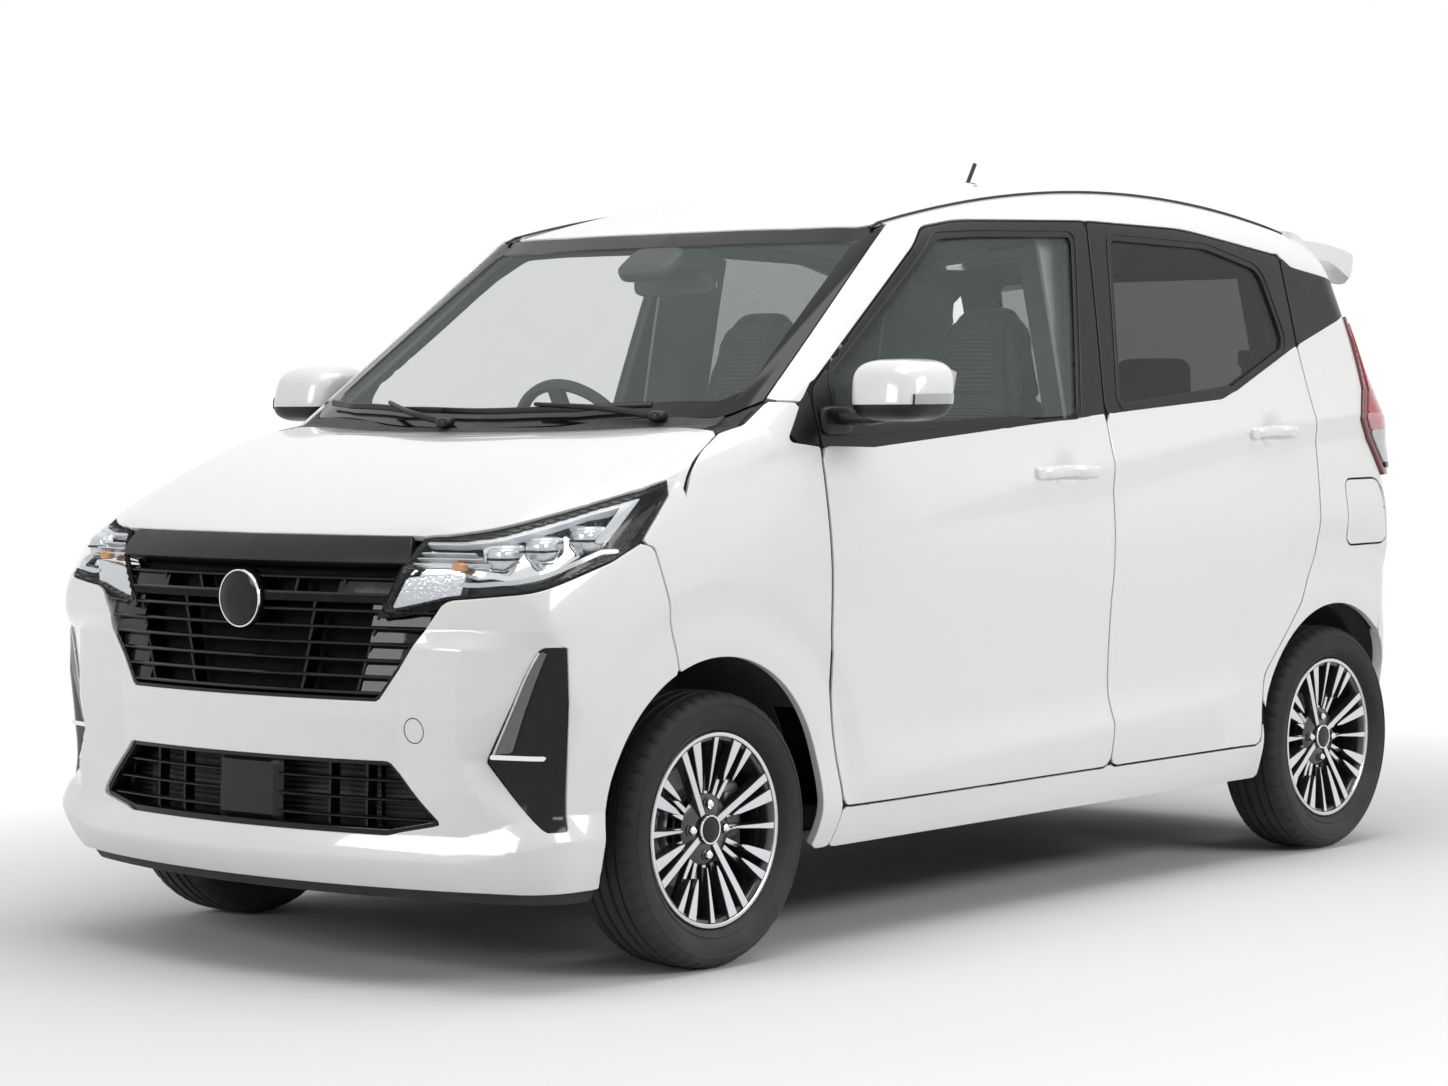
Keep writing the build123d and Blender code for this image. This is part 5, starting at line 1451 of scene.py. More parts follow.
def headlamp_shape():
    """Left headlamp: dark housing, bright lines, three modules, light blade, cut block and clear cover."""
    u, v = nose_grid(12, 84, 0.70, 1.00, 0.55, 0.0055)
    cover = lamp_keep(-0.0025)
    line_at = lambda p: np.interp(p[:, 0], *LAMP_LINE)
    shape = panel(round_front, u, v, cover, 0, 0.0015, 0.004)
    wall = both_of(cover, none_of(lamp_keep(-0.006)))
    shape.join(panel(round_front, u, v, wall, 1, 0.0, 0.050, inset=0.0045))
    shape.join(panel(round_front, u, v, cover, 1, 0.0, 0.002, inset=0.048))
    brow = both_of(cover, lambda p: p[:, 2] - line_at(p) - 0.0015)
    shape.join(panel(round_front, u, v, brow, 1, 0.0, 0.004, inset=0.006))
    line = both_of(cover, lambda p: 0.0038 - np.abs(p[:, 2] - line_at(p)), lambda p: p[:, 0] - 1.27)
    shape.join(panel(round_front, u, v, line, 3, 0.0, 0.016, inset=0.008))
    strip = both_of(cover, lambda p: 0.0045 - np.abs(p[:, 2] - np.interp(p[:, 0], *LAMP_STRIP)),
                    lambda p: 1.598 - p[:, 0], lambda p: p[:, 0] - 1.335)
    shape.join(panel(round_front, u, v, strip, 3, 0.0, 0.012, inset=0.008))
    across = lambda p: (p[:, 0] - 1.275) * 0.607 + (p[:, 2] - 0.934) * 0.795
    blade = both_of(cover, lambda p: 0.0095 - np.abs(across(p)), lambda p: p[:, 2] - 0.856,
                    lambda p: line_at(p) - p[:, 2])
    shape.join(panel(round_front, u, v, blade, 3, 0.0, 0.036, inset=0.008))
    block = both_of(front_keep([(372, 722), (409, 790), (534, 803), (519, 748)]), cover)
    shape.join(panel(round_front, u, v, block, 4, 0.002, 0.025, inset=0.010))
    bowl = both_of(cover, none_of(brow, block), lambda p: p[:, 2] - np.interp(p[:, 0], *LAMP_STRIP) - 0.012,
                   lambda p: across(p) - 0.010)
    shape.join(panel(round_front, u, v, bowl, 2, 0.002, 0.012, inset=0.036))
    for k in range(3):
        fin = both_of(bowl, lambda p: 0.0022 - np.abs(p[:, 2] - line_at(p) + 0.018 + 0.011 * k),
                      lambda p: p[:, 0] - 1.57)
        shape.join(panel(round_front, u, v, fin, 3, 0.0, 0.020, inset=0.012))
    soft(shape, np.array(AMBER_SPOT) - [0.018, 0.012, 0.0], (0.010, 0.015, 0.009), 4, 5, 14, 24)
    for x, z in LAMP_MODULES:
        p = at_height(np.array([x]), np.array([z]), -0.032)[0]
        soft(shape, p - [0.014, 0.011, 0.0], (0.033, 0.033, 0.029), 6, 2, 18, 36)
        soft(shape, p, (0.027, 0.027, 0.024), 3.6, 4, 22, 44)
        soft(shape, p + [0.003, 0.003, 0.001], (0.026, 0.026, 0.0032), 5, 1, 12, 36)
    return shape


def bezel_shape():
    """Left lower lamp pocket: black facets, a slanted light strip and a bright foot."""
    u, v = nose_grid(32, 74, 0.30, 0.68, 0.45, 0.005)
    pocket = nose_keep(BEZEL_FRONT, -0.001)
    ahead = lambda p: p[:, 0] - 1.40
    shape = panel(round_front, u, v, both_of(pocket, ahead), 0, 0.0015, 0.030, inset=0.004)
    strip = nose_keep([(689, 655), (698, 652), (640, 462), (598, 456)])
    shape.join(panel(round_front, u, v, both_of(strip, pocket, ahead), 1, 0.0, 0.004, inset=0.0005))
    z = np.linspace(0.453, 0.652, 40)
    turn = np.degrees(np.interp(np.interp(z, [0.453, 0.656], [0.601, 0.690]), NOSE_Y, NOSE_ANGLE))
    tube(shape, on_skin(round_front, turn, z, 0.0005), 0.0024, 2, 10)
    foot = nose_keep([(594, 448), (694, 448), (697, 457), (598, 457)])
    shape.join(panel(round_front, u, v, both_of(foot, pocket, ahead), 3, 0.0, 0.008, inset=-0.003))
    return shape


def slat(shape, z, half, inset, depth, tall):
    """Level slat that follows the nose, with a rounded front edge and a sloping top."""
    y = np.linspace(-half, half, 49)
    face = on_skin(from_front, y, np.full(49, z), -inset)
    x = face[:, 0:1]
    ring = np.array([(-depth, 0.25), (-0.010, 0.5), (-0.003, 0.42), (0.0, 0.1), (0.0, -0.2), (-0.004, -0.5),
                     (-depth, -0.5)])
    p = np.stack([x + ring[:, 0][None, :], np.repeat(y[:, None], len(ring), 1), z + tall * ring[:, 1][None, :]
                  + 0 * x], axis=-1)
    return shape.grid(p, 0, wrap_v=True, caps=True)


def grille_half(z):
    """Half width of the upper grille at a height: it widens to its wings, and again above them."""
    return np.interp(z, [0.551, 0.750, 0.751, 0.869], [0.353, 0.499, 0.372, 0.447])


def facing_ring(profile, centre):
    """Ring form turned about a line along X through a point; profile holds (radius, x)."""
    ring = lathe(profile, (0, 0, 0), 72)
    return np.stack([centre[0] + ring[..., 1], centre[1] + ring[..., 0], centre[2] + ring[..., 2]], axis=-1)


def upper_grille_shape():
    """Satin bar over a V-shaped slatted grille with staggered fins, side plates and a plain disc; a
    near-black sheet behind it is painted shade in the openings.
    """
    u, v = nose_grid(-36, 36, 0.53, 0.88, 0.6, 0.006)
    field = front_keep(GRILLE_FRONT, -0.001)
    nose = lambda p: p[:, 0] - 1.4
    whole = both_of(field, nose, none_of(lamp_keep(0.0), mirror_test(lamp_keep(0.0))))
    shape = panel(round_front, u, v, both_of(whole, lambda p: p[:, 2] - 0.821), 1, 0.003, 0.03, inset=0.0015)
    # Near-black sheet 58 mm behind the grille: painted shade in its openings.
    shape.join(panel(round_front, u, v, whole, 2, 0.0, 0.002, inset=0.058))
    shape.join(panel(round_front, u, v, both_of(whole, none_of(front_keep(GRILLE_FRONT, -0.008)),
                                                lambda p: 0.822 - p[:, 2]), 0, 0.0015, 0.05, inset=0.004))
    rows = 0.567 + 0.0315 * np.arange(8)
    for z in rows:
        half = float(grille_half(z)) - 0.008
        slat(shape, z, half, 0.006 if z < 0.76 else 0.010, 0.040, 0.0085)
    for k, (z0, z1) in enumerate(zip(rows[:-1], rows[1:])):
        half = float(grille_half(0.5 * (z0 + z1))) - 0.012
        shift = 0.020 * k
        for y in (-half * 0.80 + shift * 0.4, -half * 0.42 + shift * 0.2, half * 0.42 - shift * 0.2,
                  half * 0.80 - shift * 0.4):
            z = np.linspace(z0, z1, 5)
            x = on_skin(from_front, np.full(5, y), z, -0.016)[:, 0]
            wide = np.array([(-0.0035, 0), (0.0035, 0), (0.0035, -0.03), (-0.0035, -0.03)])
            p = np.stack([x[:, None] + wide[:, 1], y + wide[:, 0] + 0.010 * (z[:, None] - z0) / (z1 - z0)
                          * np.sign(y), np.repeat(z[:, None], 4, 1)], axis=-1)
            shape.grid(p, 0, wrap_v=True, caps=True, flip=True)
        for side in (-1, 1):
            y0, y1 = sorted((side * half * (0.84 - 0.03 * k), side * half))
            y = np.linspace(y0, y1, 8)[:, None]
            z = np.linspace(z0 + 0.003, z1 - 0.006, 5)[None, :]
            p = on_skin(from_front, y + 0 * z, z + 0 * y, -0.010)
            p[..., 0] -= 0.010 * (z - z0) / (z1 - z0)
            shape.grid(p, 0, flip=True)
    c = on_skin(from_front, [0.0], [0.742], 0.0)[0]
    disc = np.array([(0.0, 0.006), (0.030, 0.0055), (0.052, 0.0040), (0.058, 0.0010), (0.060, -0.004),
                     (0.058, -0.03),
                     (0.0, -0.03)])
    shape.grid(facing_ring(disc, c), 0, wrap_u=True)
    edge = np.array([(0.0545, 0.0045), (0.0570, 0.0045), (0.0580, 0.0015), (0.0545, 0.0015)])
    return shape.grid(facing_ring(edge, c), 3, wrap_u=True, wrap_v=True)


def lower_grille_shape():
    """Lower intake: frame, three bars, uprights, the radiator core behind and a plain square panel."""
    u, v = nose_grid(-40, 40, 0.27, 0.46, 0.6, 0.005)
    nose = lambda p: p[:, 0] - 1.4
    field = both_of(front_keep(INTAKE_FRONT, -0.001), nose)
    rim = both_of(field, none_of(front_keep(INTAKE_FRONT, -0.009)))
    shape = panel(round_front, u, v, rim, 0, 0.0015, 0.050, inset=0.008)
    shape.join(panel(round_front, u, v, field, 2, 0.0, 0.002, inset=0.075))
    for z in (0.326, 0.362, 0.399):
        half = float(np.interp(z, [0.295, 0.319, 0.439], [0.367, 0.493, 0.373])) - 0.010
        slat(shape, z, half, 0.016, 0.030, 0.008)
    for y in (-0.30, -0.21, 0.21, 0.30):
        z = np.linspace(0.300, 0.436, 9)
        x = on_skin(from_front, np.full(9, y), z, -0.026)[:, 0]
        wide = np.array([(-0.003, 0), (0.003, 0), (0.003, -0.025), (-0.003, -0.025)])
        p = np.stack([x[:, None] + wide[:, 1], np.repeat(y + wide[:, 0][None, :], 9, 0),
                      np.repeat(z[:, None], 4, 1)],
                     axis=-1)
        shape.grid(p, 0, wrap_v=True, caps=True, flip=True)
    z = np.linspace(0.306, 0.432, 12)[:, None]
    y = np.linspace(-0.092, 0.092, 12)[None, :]
    front = on_skin(from_front, y + 0 * z, z + 0 * y, -0.012)
    edge = np.minimum(np.minimum(z - 0.306, 0.432 - z), np.minimum(y + 0.092, 0.092 - y))
    front[..., 0] -= 0.012 * (edge < 0.001)
    shape.grid(front, 1, flip=True)
    return shape


def tail_lamp_shape():
    """Left tail lamp, proud of the skin: dark edge, red field, pink block, clear block and dark foot."""
    u, v = nose_grid(40, 88, 0.90, 1.33, 0.6, 0.006)
    field = both_of(side_keep(TAIL_LAMP_SIDE, -HAIR), lambda p: p[:, 1] - 0.579)
    inner = side_keep(TAIL_LAMP_SIDE, -0.020)
    shape = Shape()
    for low, high, slot in ((0.90, 0.950, 4), (0.950, 1.033, 3), (1.033, 1.072, 2), (1.072, 1.34, 1)):
        part = both_of(field, inner, lambda p: p[:, 2] - low - 0.0004, lambda p: high - 0.0004 - p[:, 2])
        shape.join(panel(round_back, u, v, part, slot, 0.0015, 0.022, inset=-0.012))
    edge = both_of(field, none_of(inner))
    shape.join(panel(round_back, u, v, edge, 0, 0.003, 0.022, inset=-0.008, back=0.02))
    return shape


def mirror_shape():
    """Left door mirror: white shell, grey signal strip, black lower shell, arm, base and mirror glass."""
    c, half = (0.634, 0.853, 1.142), (0.088, 0.092, 0.064)
    shape = Shape()
    p = ball_box(c, half, 3.4, 49, 72)
    back = p[..., 0] < c[0] - 0.066
    p[..., 0] = np.where(back, c[0] - 0.066 + (p[..., 0] - c[0] + 0.066) * 0.35, p[..., 0])
    lean = (p[..., 2] - c[2]) / half[2]
    p[..., 0] -= 0.012 * lean
    p[..., 1] += 0.006 * lean * -1
    rows = 0.5 * (p[1:, 0, 2] + p[:-1, 0, 2])
    slots = np.where(rows < 1.112, 1, 0)
    shape.grid(p, slots[:, None], wrap_v=True)
    strip = ball_box((c[0] + 0.0012, c[1] + 0.0015, c[2]), (half[0] + 0.001, half[1] + 0.001, half[2]), 3.4,
                     97, 96)
    lean = (strip[..., 2] - c[2]) / half[2]
    strip[..., 0] -= 0.012 * lean
    strip[..., 1] -= 0.006 * lean
    rows = (strip[:, 0, 2] > 1.112) & (strip[:, 0, 2] < 1.134)
    turn = np.linspace(0, 360, 97)[:-1]
    shape.grid(strip[rows][:, (turn > 52) & (turn < 132)], 2)
    rows = (strip[:, 0, 2] > 1.107) & (strip[:, 0, 2] < 1.139)
    rim = strip[rows][:, (turn > 47) & (turn < 136)]
    shape.grid(c + (rim - c) * 0.995, 1)
    soft(shape, (0.655, 0.745, 1.083), (0.026, 0.070, 0.012), 4, 1)
    soft(shape, (0.668, 0.704, 1.080), (0.050, 0.014, 0.030), 4, 1)
    y = np.linspace(-0.074, 0.074, 20)[None, :]
    z = np.linspace(-0.046, 0.046, 14)[:, None]
    fade = 1 - (y / 0.078) ** 4 * 0.3
    glass = np.stack([0 * y + 0 * z + c[0] - 0.0755 - 0.012 * z / half[2], c[1] + y + 0 * z, c[2] + z * fade],
                     axis=-1)
    return shape.grid(glass, 3)


def handle_shape(x0, x1, z):
    """Left door handle: a rounded bar that stands off the door and bends in at both ends."""
    t = np.linspace(0, 1, 41)
    x = x0 + (x1 - x0) * t
    out = 0.020 * (1 - np.abs(2 * t - 1) ** 7) - 0.004
    path = at_height(x, np.full(41, z) + 0.004 * (1 - (2 * t - 1) ** 2))
    path[:, 1] += out
    radius = 0.0125 * (1 - 0.35 * np.abs(2 * t - 1) ** 6)
    shape = Shape()
    tube(shape, path, radius, 0, 20, (0.55, 1.05))
    foot = at_height([x0 - 0.006 * np.sign(x0 - x1)], [z], 0.006)[0]
    soft(shape, foot, (0.016, 0.008, 0.0135), 3.5, 0)
    key = at_height([x1 - 0.004], [z], 0.002)[0]
    soft(shape, key, (0.013, 0.008, 0.0125), 3.0, 0)
    return shape


def drip_shape():
    """Left black moulding along the roof, from the screen corner to the tail."""
    x = np.linspace(0.33, -1.36, 60)
    y = np.interp(x, [-1.36, -0.943, -0.088, 0.33], [0.532, 0.535, 0.535, 0.536])
    path = on_skin(from_top, x, y, 0.0015)
    return tube(Shape(), path, 0.0048, 0, 10, (1.0, 0.7))


def wiper_shape():
    """Two wipers at rest along the foot of the windscreen: spindle, arm and blade."""
    shape = Shape()
    foot = lambda y: np.interp(np.abs(y), [0.0, 0.25, 0.45, 0.60], [1.015, 1.000, 0.955, 0.895])
    for pivot, start, end in ((0.47, 0.43, -0.12), (-0.07, -0.03, -0.55)):
        y = np.linspace(start, end, 40)
        blade = on_skin(from_top, foot(y) - 0.036, y, 0.008)
        tube(shape, blade, 0.0048, 0, 8, (0.7, 1.4))
        base = on_skin(from_top, [foot(pivot) + 0.004], [pivot], 0.010)[0]
        middle = on_skin(from_top, [foot(pivot - 0.12) - 0.012], [pivot - 0.12], 0.020)[0]
        arm = bowed([base, middle, blade[20] + [0.0, 0.0, 0.012]], 30)
        tube(shape, arm, np.linspace(0.008, 0.0045, 30), 0, 10)
        soft(shape, base, (0.018, 0.018, 0.012), 3, 0, 14, 24)
    return shape


def spoiler_shape():
    """Roof spoiler over the rear window: a wing section swept across, thinner at its ends."""
    y = np.linspace(-1, 1, 61)
    section = np.array([(-1.408, 1.560), (-1.470, 1.557), (-1.560, 1.545), (-1.640, 1.528), (-1.668, 1.519),
                        (-1.673, 1.510), (-1.668, 1.470), (-1.660, 1.440), (-1.650, 1.432), (-1.600, 1.462),
                        (-1.540, 1.490), (-1.408, 1.500)])
    width = 0.592
    yy = width * y[:, None]
    sag = 0.036 * np.abs(y[:, None]) ** 2.4
    end = np.clip((1 - np.abs(y[:, None])) / 0.06, 0, 1) ** 0.5
    mid = section.mean(axis=0)
    x = mid[0] + (section[:, 0][None, :] - mid[0]) * (0.90 + 0.10 * end) + 0.050 * y[:, None] ** 4
    z = mid[1] + (section[:, 1][None, :] - mid[1]) * (0.70 + 0.30 * end) - sag
    p = np.stack([x, yy + 0 * x, z], axis=-1)
    return Shape().grid(p, 0, wrap_v=True, caps=True)


def tow_cap():
    """Round tow-eye cover in the bumper: a fine near-black ring flush with the skin, painted shade standing
    for the gap round the cover.
    """
    a = np.linspace(0, 2 * np.pi, 73)[:-1]
    path = on_skin(from_front, TOW_CAP[0] + 0.024 * np.cos(a), TOW_CAP[1] + 0.024 * np.sin(a), 0.0)
    path = np.vstack([path, path[:1]])
    return tube(Shape(), path, 0.0009, 0, 8)


def lip_shape():
    """Black strip under the front bumper."""
    u, v = nose_grid(-80, 80, 0.155, 0.192, 1.0, 0.006)
    keep = both_of(lambda p: p[:, 2] - 0.160, lambda p: 0.189 - p[:, 2], none_of(arch_keep("front")),
                   lambda p: p[:, 0] - 1.19)
    return panel(round_front, u, v, keep, 0, 0.003, 0.02, inset=0.014)


# Cabin
BLANK_SECTIONS = 27
CLOTH_CELL = 0.012
CLOTH_PRESSURE = 4.0
CLOTH_FRAMES = 20
SEAM_WIDTH = 0.007
SEAM_DEPTH = 0.009


def blank(outline, middle, half, pinch=0.08):
    """Closed cushion blank: a side outline swept across and drawn in at its ends; half may follow height."""
    loop = rounded(outline)
    centre = loop.mean(axis=0)
    t = np.linspace(-1, 1, BLANK_SECTIONS)[:, None]
    draw = 1 - pinch * np.abs(t) ** 8
    x = centre[0] + (loop[:, 0][None, :] - centre[0]) * draw
    z = centre[1] + (loop[:, 1][None, :] - centre[1]) * draw
    width = half(z) if callable(half) else half
    return Shape().grid(np.stack([x, middle + t * width + 0 * z, z], axis=-1), wrap_v=True, caps=True)


def settle(obj):
    """Apply the modifiers of an object and drop them."""
    done = bpy.data.meshes.new_from_object(obj.evaluated_get(bpy.context.evaluated_depsgraph_get()))
    obj.modifiers.clear()
    obj.data = done


def corners(obj):
    """Points of an object's mesh."""
    points = np.empty(len(obj.data.vertices) * 3)
    obj.data.vertices.foreach_get("co", points)
    return points.reshape(-1, 3)


def stuffed(name, shape, seams, share=1.0, fine=True):
    """Cushion: a blank swollen by cloth under pressure, held within a share of the swell, with sewn seams."""
    cap = share * settings().swell
    obj = make(name, shape, ["cloth"])
    remesh = obj.modifiers.new("remesh", "REMESH")
    remesh.mode = "VOXEL"
    remesh.voxel_size = CLOTH_CELL
    settle(obj)
    rest = corners(obj)
    cloth = obj.modifiers.new("cloth", "CLOTH").settings
    cloth.use_pressure = True
    cloth.uniform_pressure_force = CLOTH_PRESSURE
    cloth.effector_weights.gravity = 0.0
    for step in range(1, CLOTH_FRAMES + 1):
        bpy.context.scene.frame_set(step)
    settle(obj)
    bpy.context.scene.frame_set(1)
    moved = corners(obj) - rest
    far = np.linalg.norm(moved, axis=1, keepdims=True)
    held = rest + moved * np.minimum(1, cap / np.maximum(far, 1e-9))
    obj.data.vertices.foreach_set("co", held.ravel())
    if fine:
        divide = obj.modifiers.new("divide", "SUBSURF")
        divide.levels = divide.render_levels = 1
        settle(obj)
    points = corners(obj)
    normals = np.empty(points.size)
    obj.data.update()
    obj.data.vertices.foreach_get("normal", normals)
    groove = sum(np.exp(-(seam(points) / SEAM_WIDTH) ** 2) for seam in seams)
    points -= normals.reshape(-1, 3) * (SEAM_DEPTH * np.clip(groove, 0, 1))[:, None]
    obj.data.vertices.foreach_set("co", points.ravel())
    obj.data.shade_smooth()
    return obj


SEAT_PAD = [(322, 486, 40), (328, 570, 40), (-118, 582, 40), (-188, 486, 40)]
SEAT_BACK = [(-162, 602, 40), (-302, 1120, 60), (-346, 1352, 34), (-412, 1352, 34), (-396, 1120, 80),
             (-264, 602, 40)]
BENCH_PAD = [(-575, 487, 30), (-568, 568, 40), (-1000, 560, 40), (-1050, 487, 30)]
BENCH_BACK = [(-1028, 590, 40), (-1116, 1035, 30), (-1182, 1035, 30), (-1112, 575, 40)]
BENCH_REST = [(-1110, 1082, 24), (-1124, 1216, 28), (-1170, 1216, 28), (-1174, 1082, 24)]


def seat_width(z):
    """Half width of a front seat's back, which narrows to a rounded head."""
    return np.interp(z, [0.60, 0.95, 1.10, 1.20, 1.30, 1.36], [0.205, 0.205, 0.172, 0.135, 0.112, 0.070])


def build_seats():
    """Front seats and rear bench with padded cushions, bases and posts."""
    for side, y in (("left", 0.34), ("right", -0.34)):
        lines = [lambda p: np.abs(p[:, 1] - y) - 0.125]
        pad = stuffed(f"seat_pad_{side}", blank(SEAT_PAD, y, 0.208), lines + [lambda p: p[:, 0] + 0.02],
                      fine=False)
        back = stuffed(f"seat_back_{side}", blank(SEAT_BACK, y, seat_width, 0.16),
                       [lambda p: np.abs(p[:, 1] - y) - 0.72 * seat_width(p[:, 2]), lambda p: p[:, 2] - 1.12])
        base = soft(Shape(), (0.06, y, 0.350), (0.22, 0.165, 0.122), 6)
        soft(base, (-0.20, y + 0.232 * np.sign(y), 0.520), (0.070, 0.012, 0.045), 4)
        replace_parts(make(f"seat_base_{side}", base, ["dash"]), "front_seats")
        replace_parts(pad, "front_seats")
        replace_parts(back, "front_seats")
    cross = [lambda p: np.abs(p[:, 1]), lambda p: np.abs(p[:, 1]) - 0.42]
    bench = [stuffed("bench_pad", blank(BENCH_PAD, 0, 0.552), cross, fine=False),
             stuffed("bench_back", blank(BENCH_BACK, 0, 0.552), cross, fine=False)]
    posts = Shape()
    for side, y in (("left", 0.29), ("right", -0.29)):
        bench.append(stuffed(f"bench_rest_{side}", blank(BENCH_REST, y, 0.105, 0.2),
                             [lambda p: p[:, 2] - 1.105], 0.6))
        for off in (-0.045, 0.045):
            tube(posts, [(-1.148, y + off, 1.00), (-1.146, y + off, 1.06), (-1.144, y + off, 1.11)], 0.0055)
    bench.append(make("bench_posts", posts, ["chrome"]))
    for piece in bench:
        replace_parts(piece, "rear_bench")


def cabin_shape():
    """Dash hood, screen, vents, column cowl, console, inner mirror and camera housing."""
    shape = Shape()
    soft(shape, (0.520, -0.34, 1.046), (0.105, 0.175, 0.034), 3.4)
    soft(shape, (0.455, 0.0, 1.010), (0.022, 0.135, 0.078), 7, 0, tilt=-14)
    soft(shape, (0.436, 0.0, 1.012), (0.008, 0.124, 0.068), 9, 1, tilt=-14)
    soft(shape, (0.400, 0.0, 0.760), (0.075, 0.125, 0.130), 5)
    soft(shape, (0.380, -0.34, 0.940), (0.130, 0.050, 0.045), 3.5, tilt=-27)
    soft(shape, (0.448, 0.0, 0.885), (0.016, 0.120, 0.026), 7, 1, tilt=-10)
    for y in (-0.575, -0.135, 0.200, 0.560):
        soft(shape, (0.447, y, 0.955), (0.020, 0.052, 0.030), 5, 0, tilt=-12)
        for k in range(4):
            soft(shape, (0.425, y, 0.937 + 0.012 * k), (0.004, 0.045, 0.0022), 5, 1, 8, 20)
    soft(shape, (0.425, 0.0, 1.428), (0.062, 0.075, 0.020), 4, 0, tilt=-33)
    soft(shape, (0.352, 0.0, 1.385), (0.012, 0.118, 0.031), 4.5, 0)
    soft(shape, (0.338, 0.0, 1.385), (0.002, 0.111, 0.027), 5, 2)
    return tube(shape, [(0.372, 0, 1.440), (0.368, 0, 1.415), (0.358, 0, 1.392)], 0.009, 0)


def trim_shape():
    """Light inner linings of the pillars and of the left side behind the doors."""
    shape = Shape()
    for start, end, low in ((-0.425, -0.262, 4.0), (-1.47, -1.19, 4.0)):
        u, v = side_grid(start, end, low=low)
        keep = lambda p: np.minimum(np.minimum(p[:, 0] - start, end - p[:, 0]), 1.52 - p[:, 2])
        shape.join(panel(from_side, u, v, keep, 0, 0.004, 0.006, inset=0.062, back=0.066))
    return shape


def belt_shape():
    """Left seat belts: webbing from its upper guide down the pillar, and the guide itself."""
    shape = Shape()
    for x, y, top in ((-0.345, 0.560, 1.255), (-1.215, 0.520, 1.20)):
        path = bowed([(x, y, top), (x + 0.006, y + 0.022, 0.95), (x + 0.010, y + 0.045, 0.62)], 24)
        tube(shape, path, 0.024, 0, 12, (0.06, 1.0))
        soft(shape, (x, y + 0.002, top + 0.012), (0.030, 0.012, 0.022), 4, 1)
    return shape


def both_sides(shape, name, materials, bodies, nodes):
    """Objects for a left piece and its mirror image, each riding on its own body."""
    for piece, side, body, node in ((shape, "left", bodies[0], nodes[0]),
                                    (shape.mirrored(), "right", bodies[1], nodes[1])):
        obj = make(f"{name}_{side}", piece, materials, body)
        if node:
            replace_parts(obj, node)


def build_body():
    """Panels, glass, cowl and seals of the body, with painted shade behind the shut lines."""
    paint, trim = ["paint", "light_trim", "satin_black"], ["paint", "matt_black"]
    left = make("flank_left", flank_of_body(True), paint)
    right = make("flank_right", flank_of_body(False).mirrored(), paint)
    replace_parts(left, "side_frame_left")
    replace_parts(right, "side_frame_right")
    fender = make("fender_skins", fender_shape().both(), ["paint"])
    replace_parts(fender, "fenders")
    doors = ["paint", "satin_black", "dash"]
    both_sides(door_shape(FRONT_DOOR, FRONT_WINDOW, -0.39, 0.74), "front_door", doors,
               ("door_fl", "door_fr"), ("door_front_left", "door_front_right"))
    both_sides(door_shape(REAR_DOOR, REAR_WINDOW, -1.24, -0.28), "rear_door", doors,
               ("door_rl", "door_rr"), ("door_rear_left", "door_rear_right"))
    both_sides(pane(FRONT_WINDOW, -0.32, 0.67), "front_pane", ["clear_glass"],
               ("door_fl", "door_fr"), ("door_front_glass_left", "door_front_glass_right"))
    both_sides(pane(REAR_WINDOW, -1.16, -0.38), "rear_pane", ["tinted_glass"],
               ("door_rl", "door_rr"), ("door_rear_glass_left", "door_rear_glass_right"))
    u, v = side_grid(-1.55, -1.32, low=3.0, high=5.0, step=0.006)
    flap = make("flap_skin", panel(from_side, u, v, side_keep(FLAP, -HAIR), 0, 0.002, back=0.008), ["paint"],
                "fuel_flap")
    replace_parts(flap, "fuel_flap")
    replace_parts(make("bonnet_skin", bonnet_shape(), trim, "bonnet"), "bonnet")
    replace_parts(make("roof_skin", roof_shape(), ["paint", "headliner"]), "roof")
    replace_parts(make("tailgate_skin", tailgate_shape(), ["paint", "light_trim"], "tailgate"), "tailgate")
    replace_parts(make("front_bumper_skin", bumper_front(), ["paint"]), "front_bumper")
    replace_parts(make("rear_bumper_skin", bumper_rear(), ["paint"]), "rear_bumper")
    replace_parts(make("screen_glass", screen_panes(), ["clear_glass", "frit"]), "windscreen")
    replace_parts(make("tail_glass", tail_panes(), ["tinted_glass", "frit"], "tailgate"), "tailgate_glass")
    make("cowl_cover", cowl_shape(), ["matt_black"])
    # Door seals, partly rubber and partly painted shade in the shut lines.
    make("door_seals_and_gap_shade", seals().both(), ["seal_rubber_and_gap_shade"])
    # Painted shade behind the shut lines of the nose.
    make("nose_gap_shade", nose_gap_shade(), ["painted_shade_black"])


def build_nose():
    """Lamps, grilles, pockets and the strip under the bumper."""
    lamp = headlamp_shape()
    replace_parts(make("headlamp_units", lamp.both(), ["lens", "gloss_black", "chrome", "light_guide",
                                                     "crystal",
                                                     "amber_lens"]), "headlamps")
    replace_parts(make("lamp_pockets", bezel_shape().both(),
                     ["gloss_black", "smoke_lens", "light_guide", "chrome"]),
                "lamp_bezels")
    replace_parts(make("grille_upper", upper_grille_shape(),
                     ["gloss_black", "satin_black", "painted_shade_black", "chrome"]),
                "upper_grille")
    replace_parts(make("grille_lower", lower_grille_shape(), ["gloss_black", "satin_black", "core"]),
                "lower_grille")
    make("bumper_lip", lip_shape(), ["matt_black"])
    # Painted shade round the tow-eye cover.
    make("tow_cover_gap_shade", tow_cap(), ["painted_shade_black"])


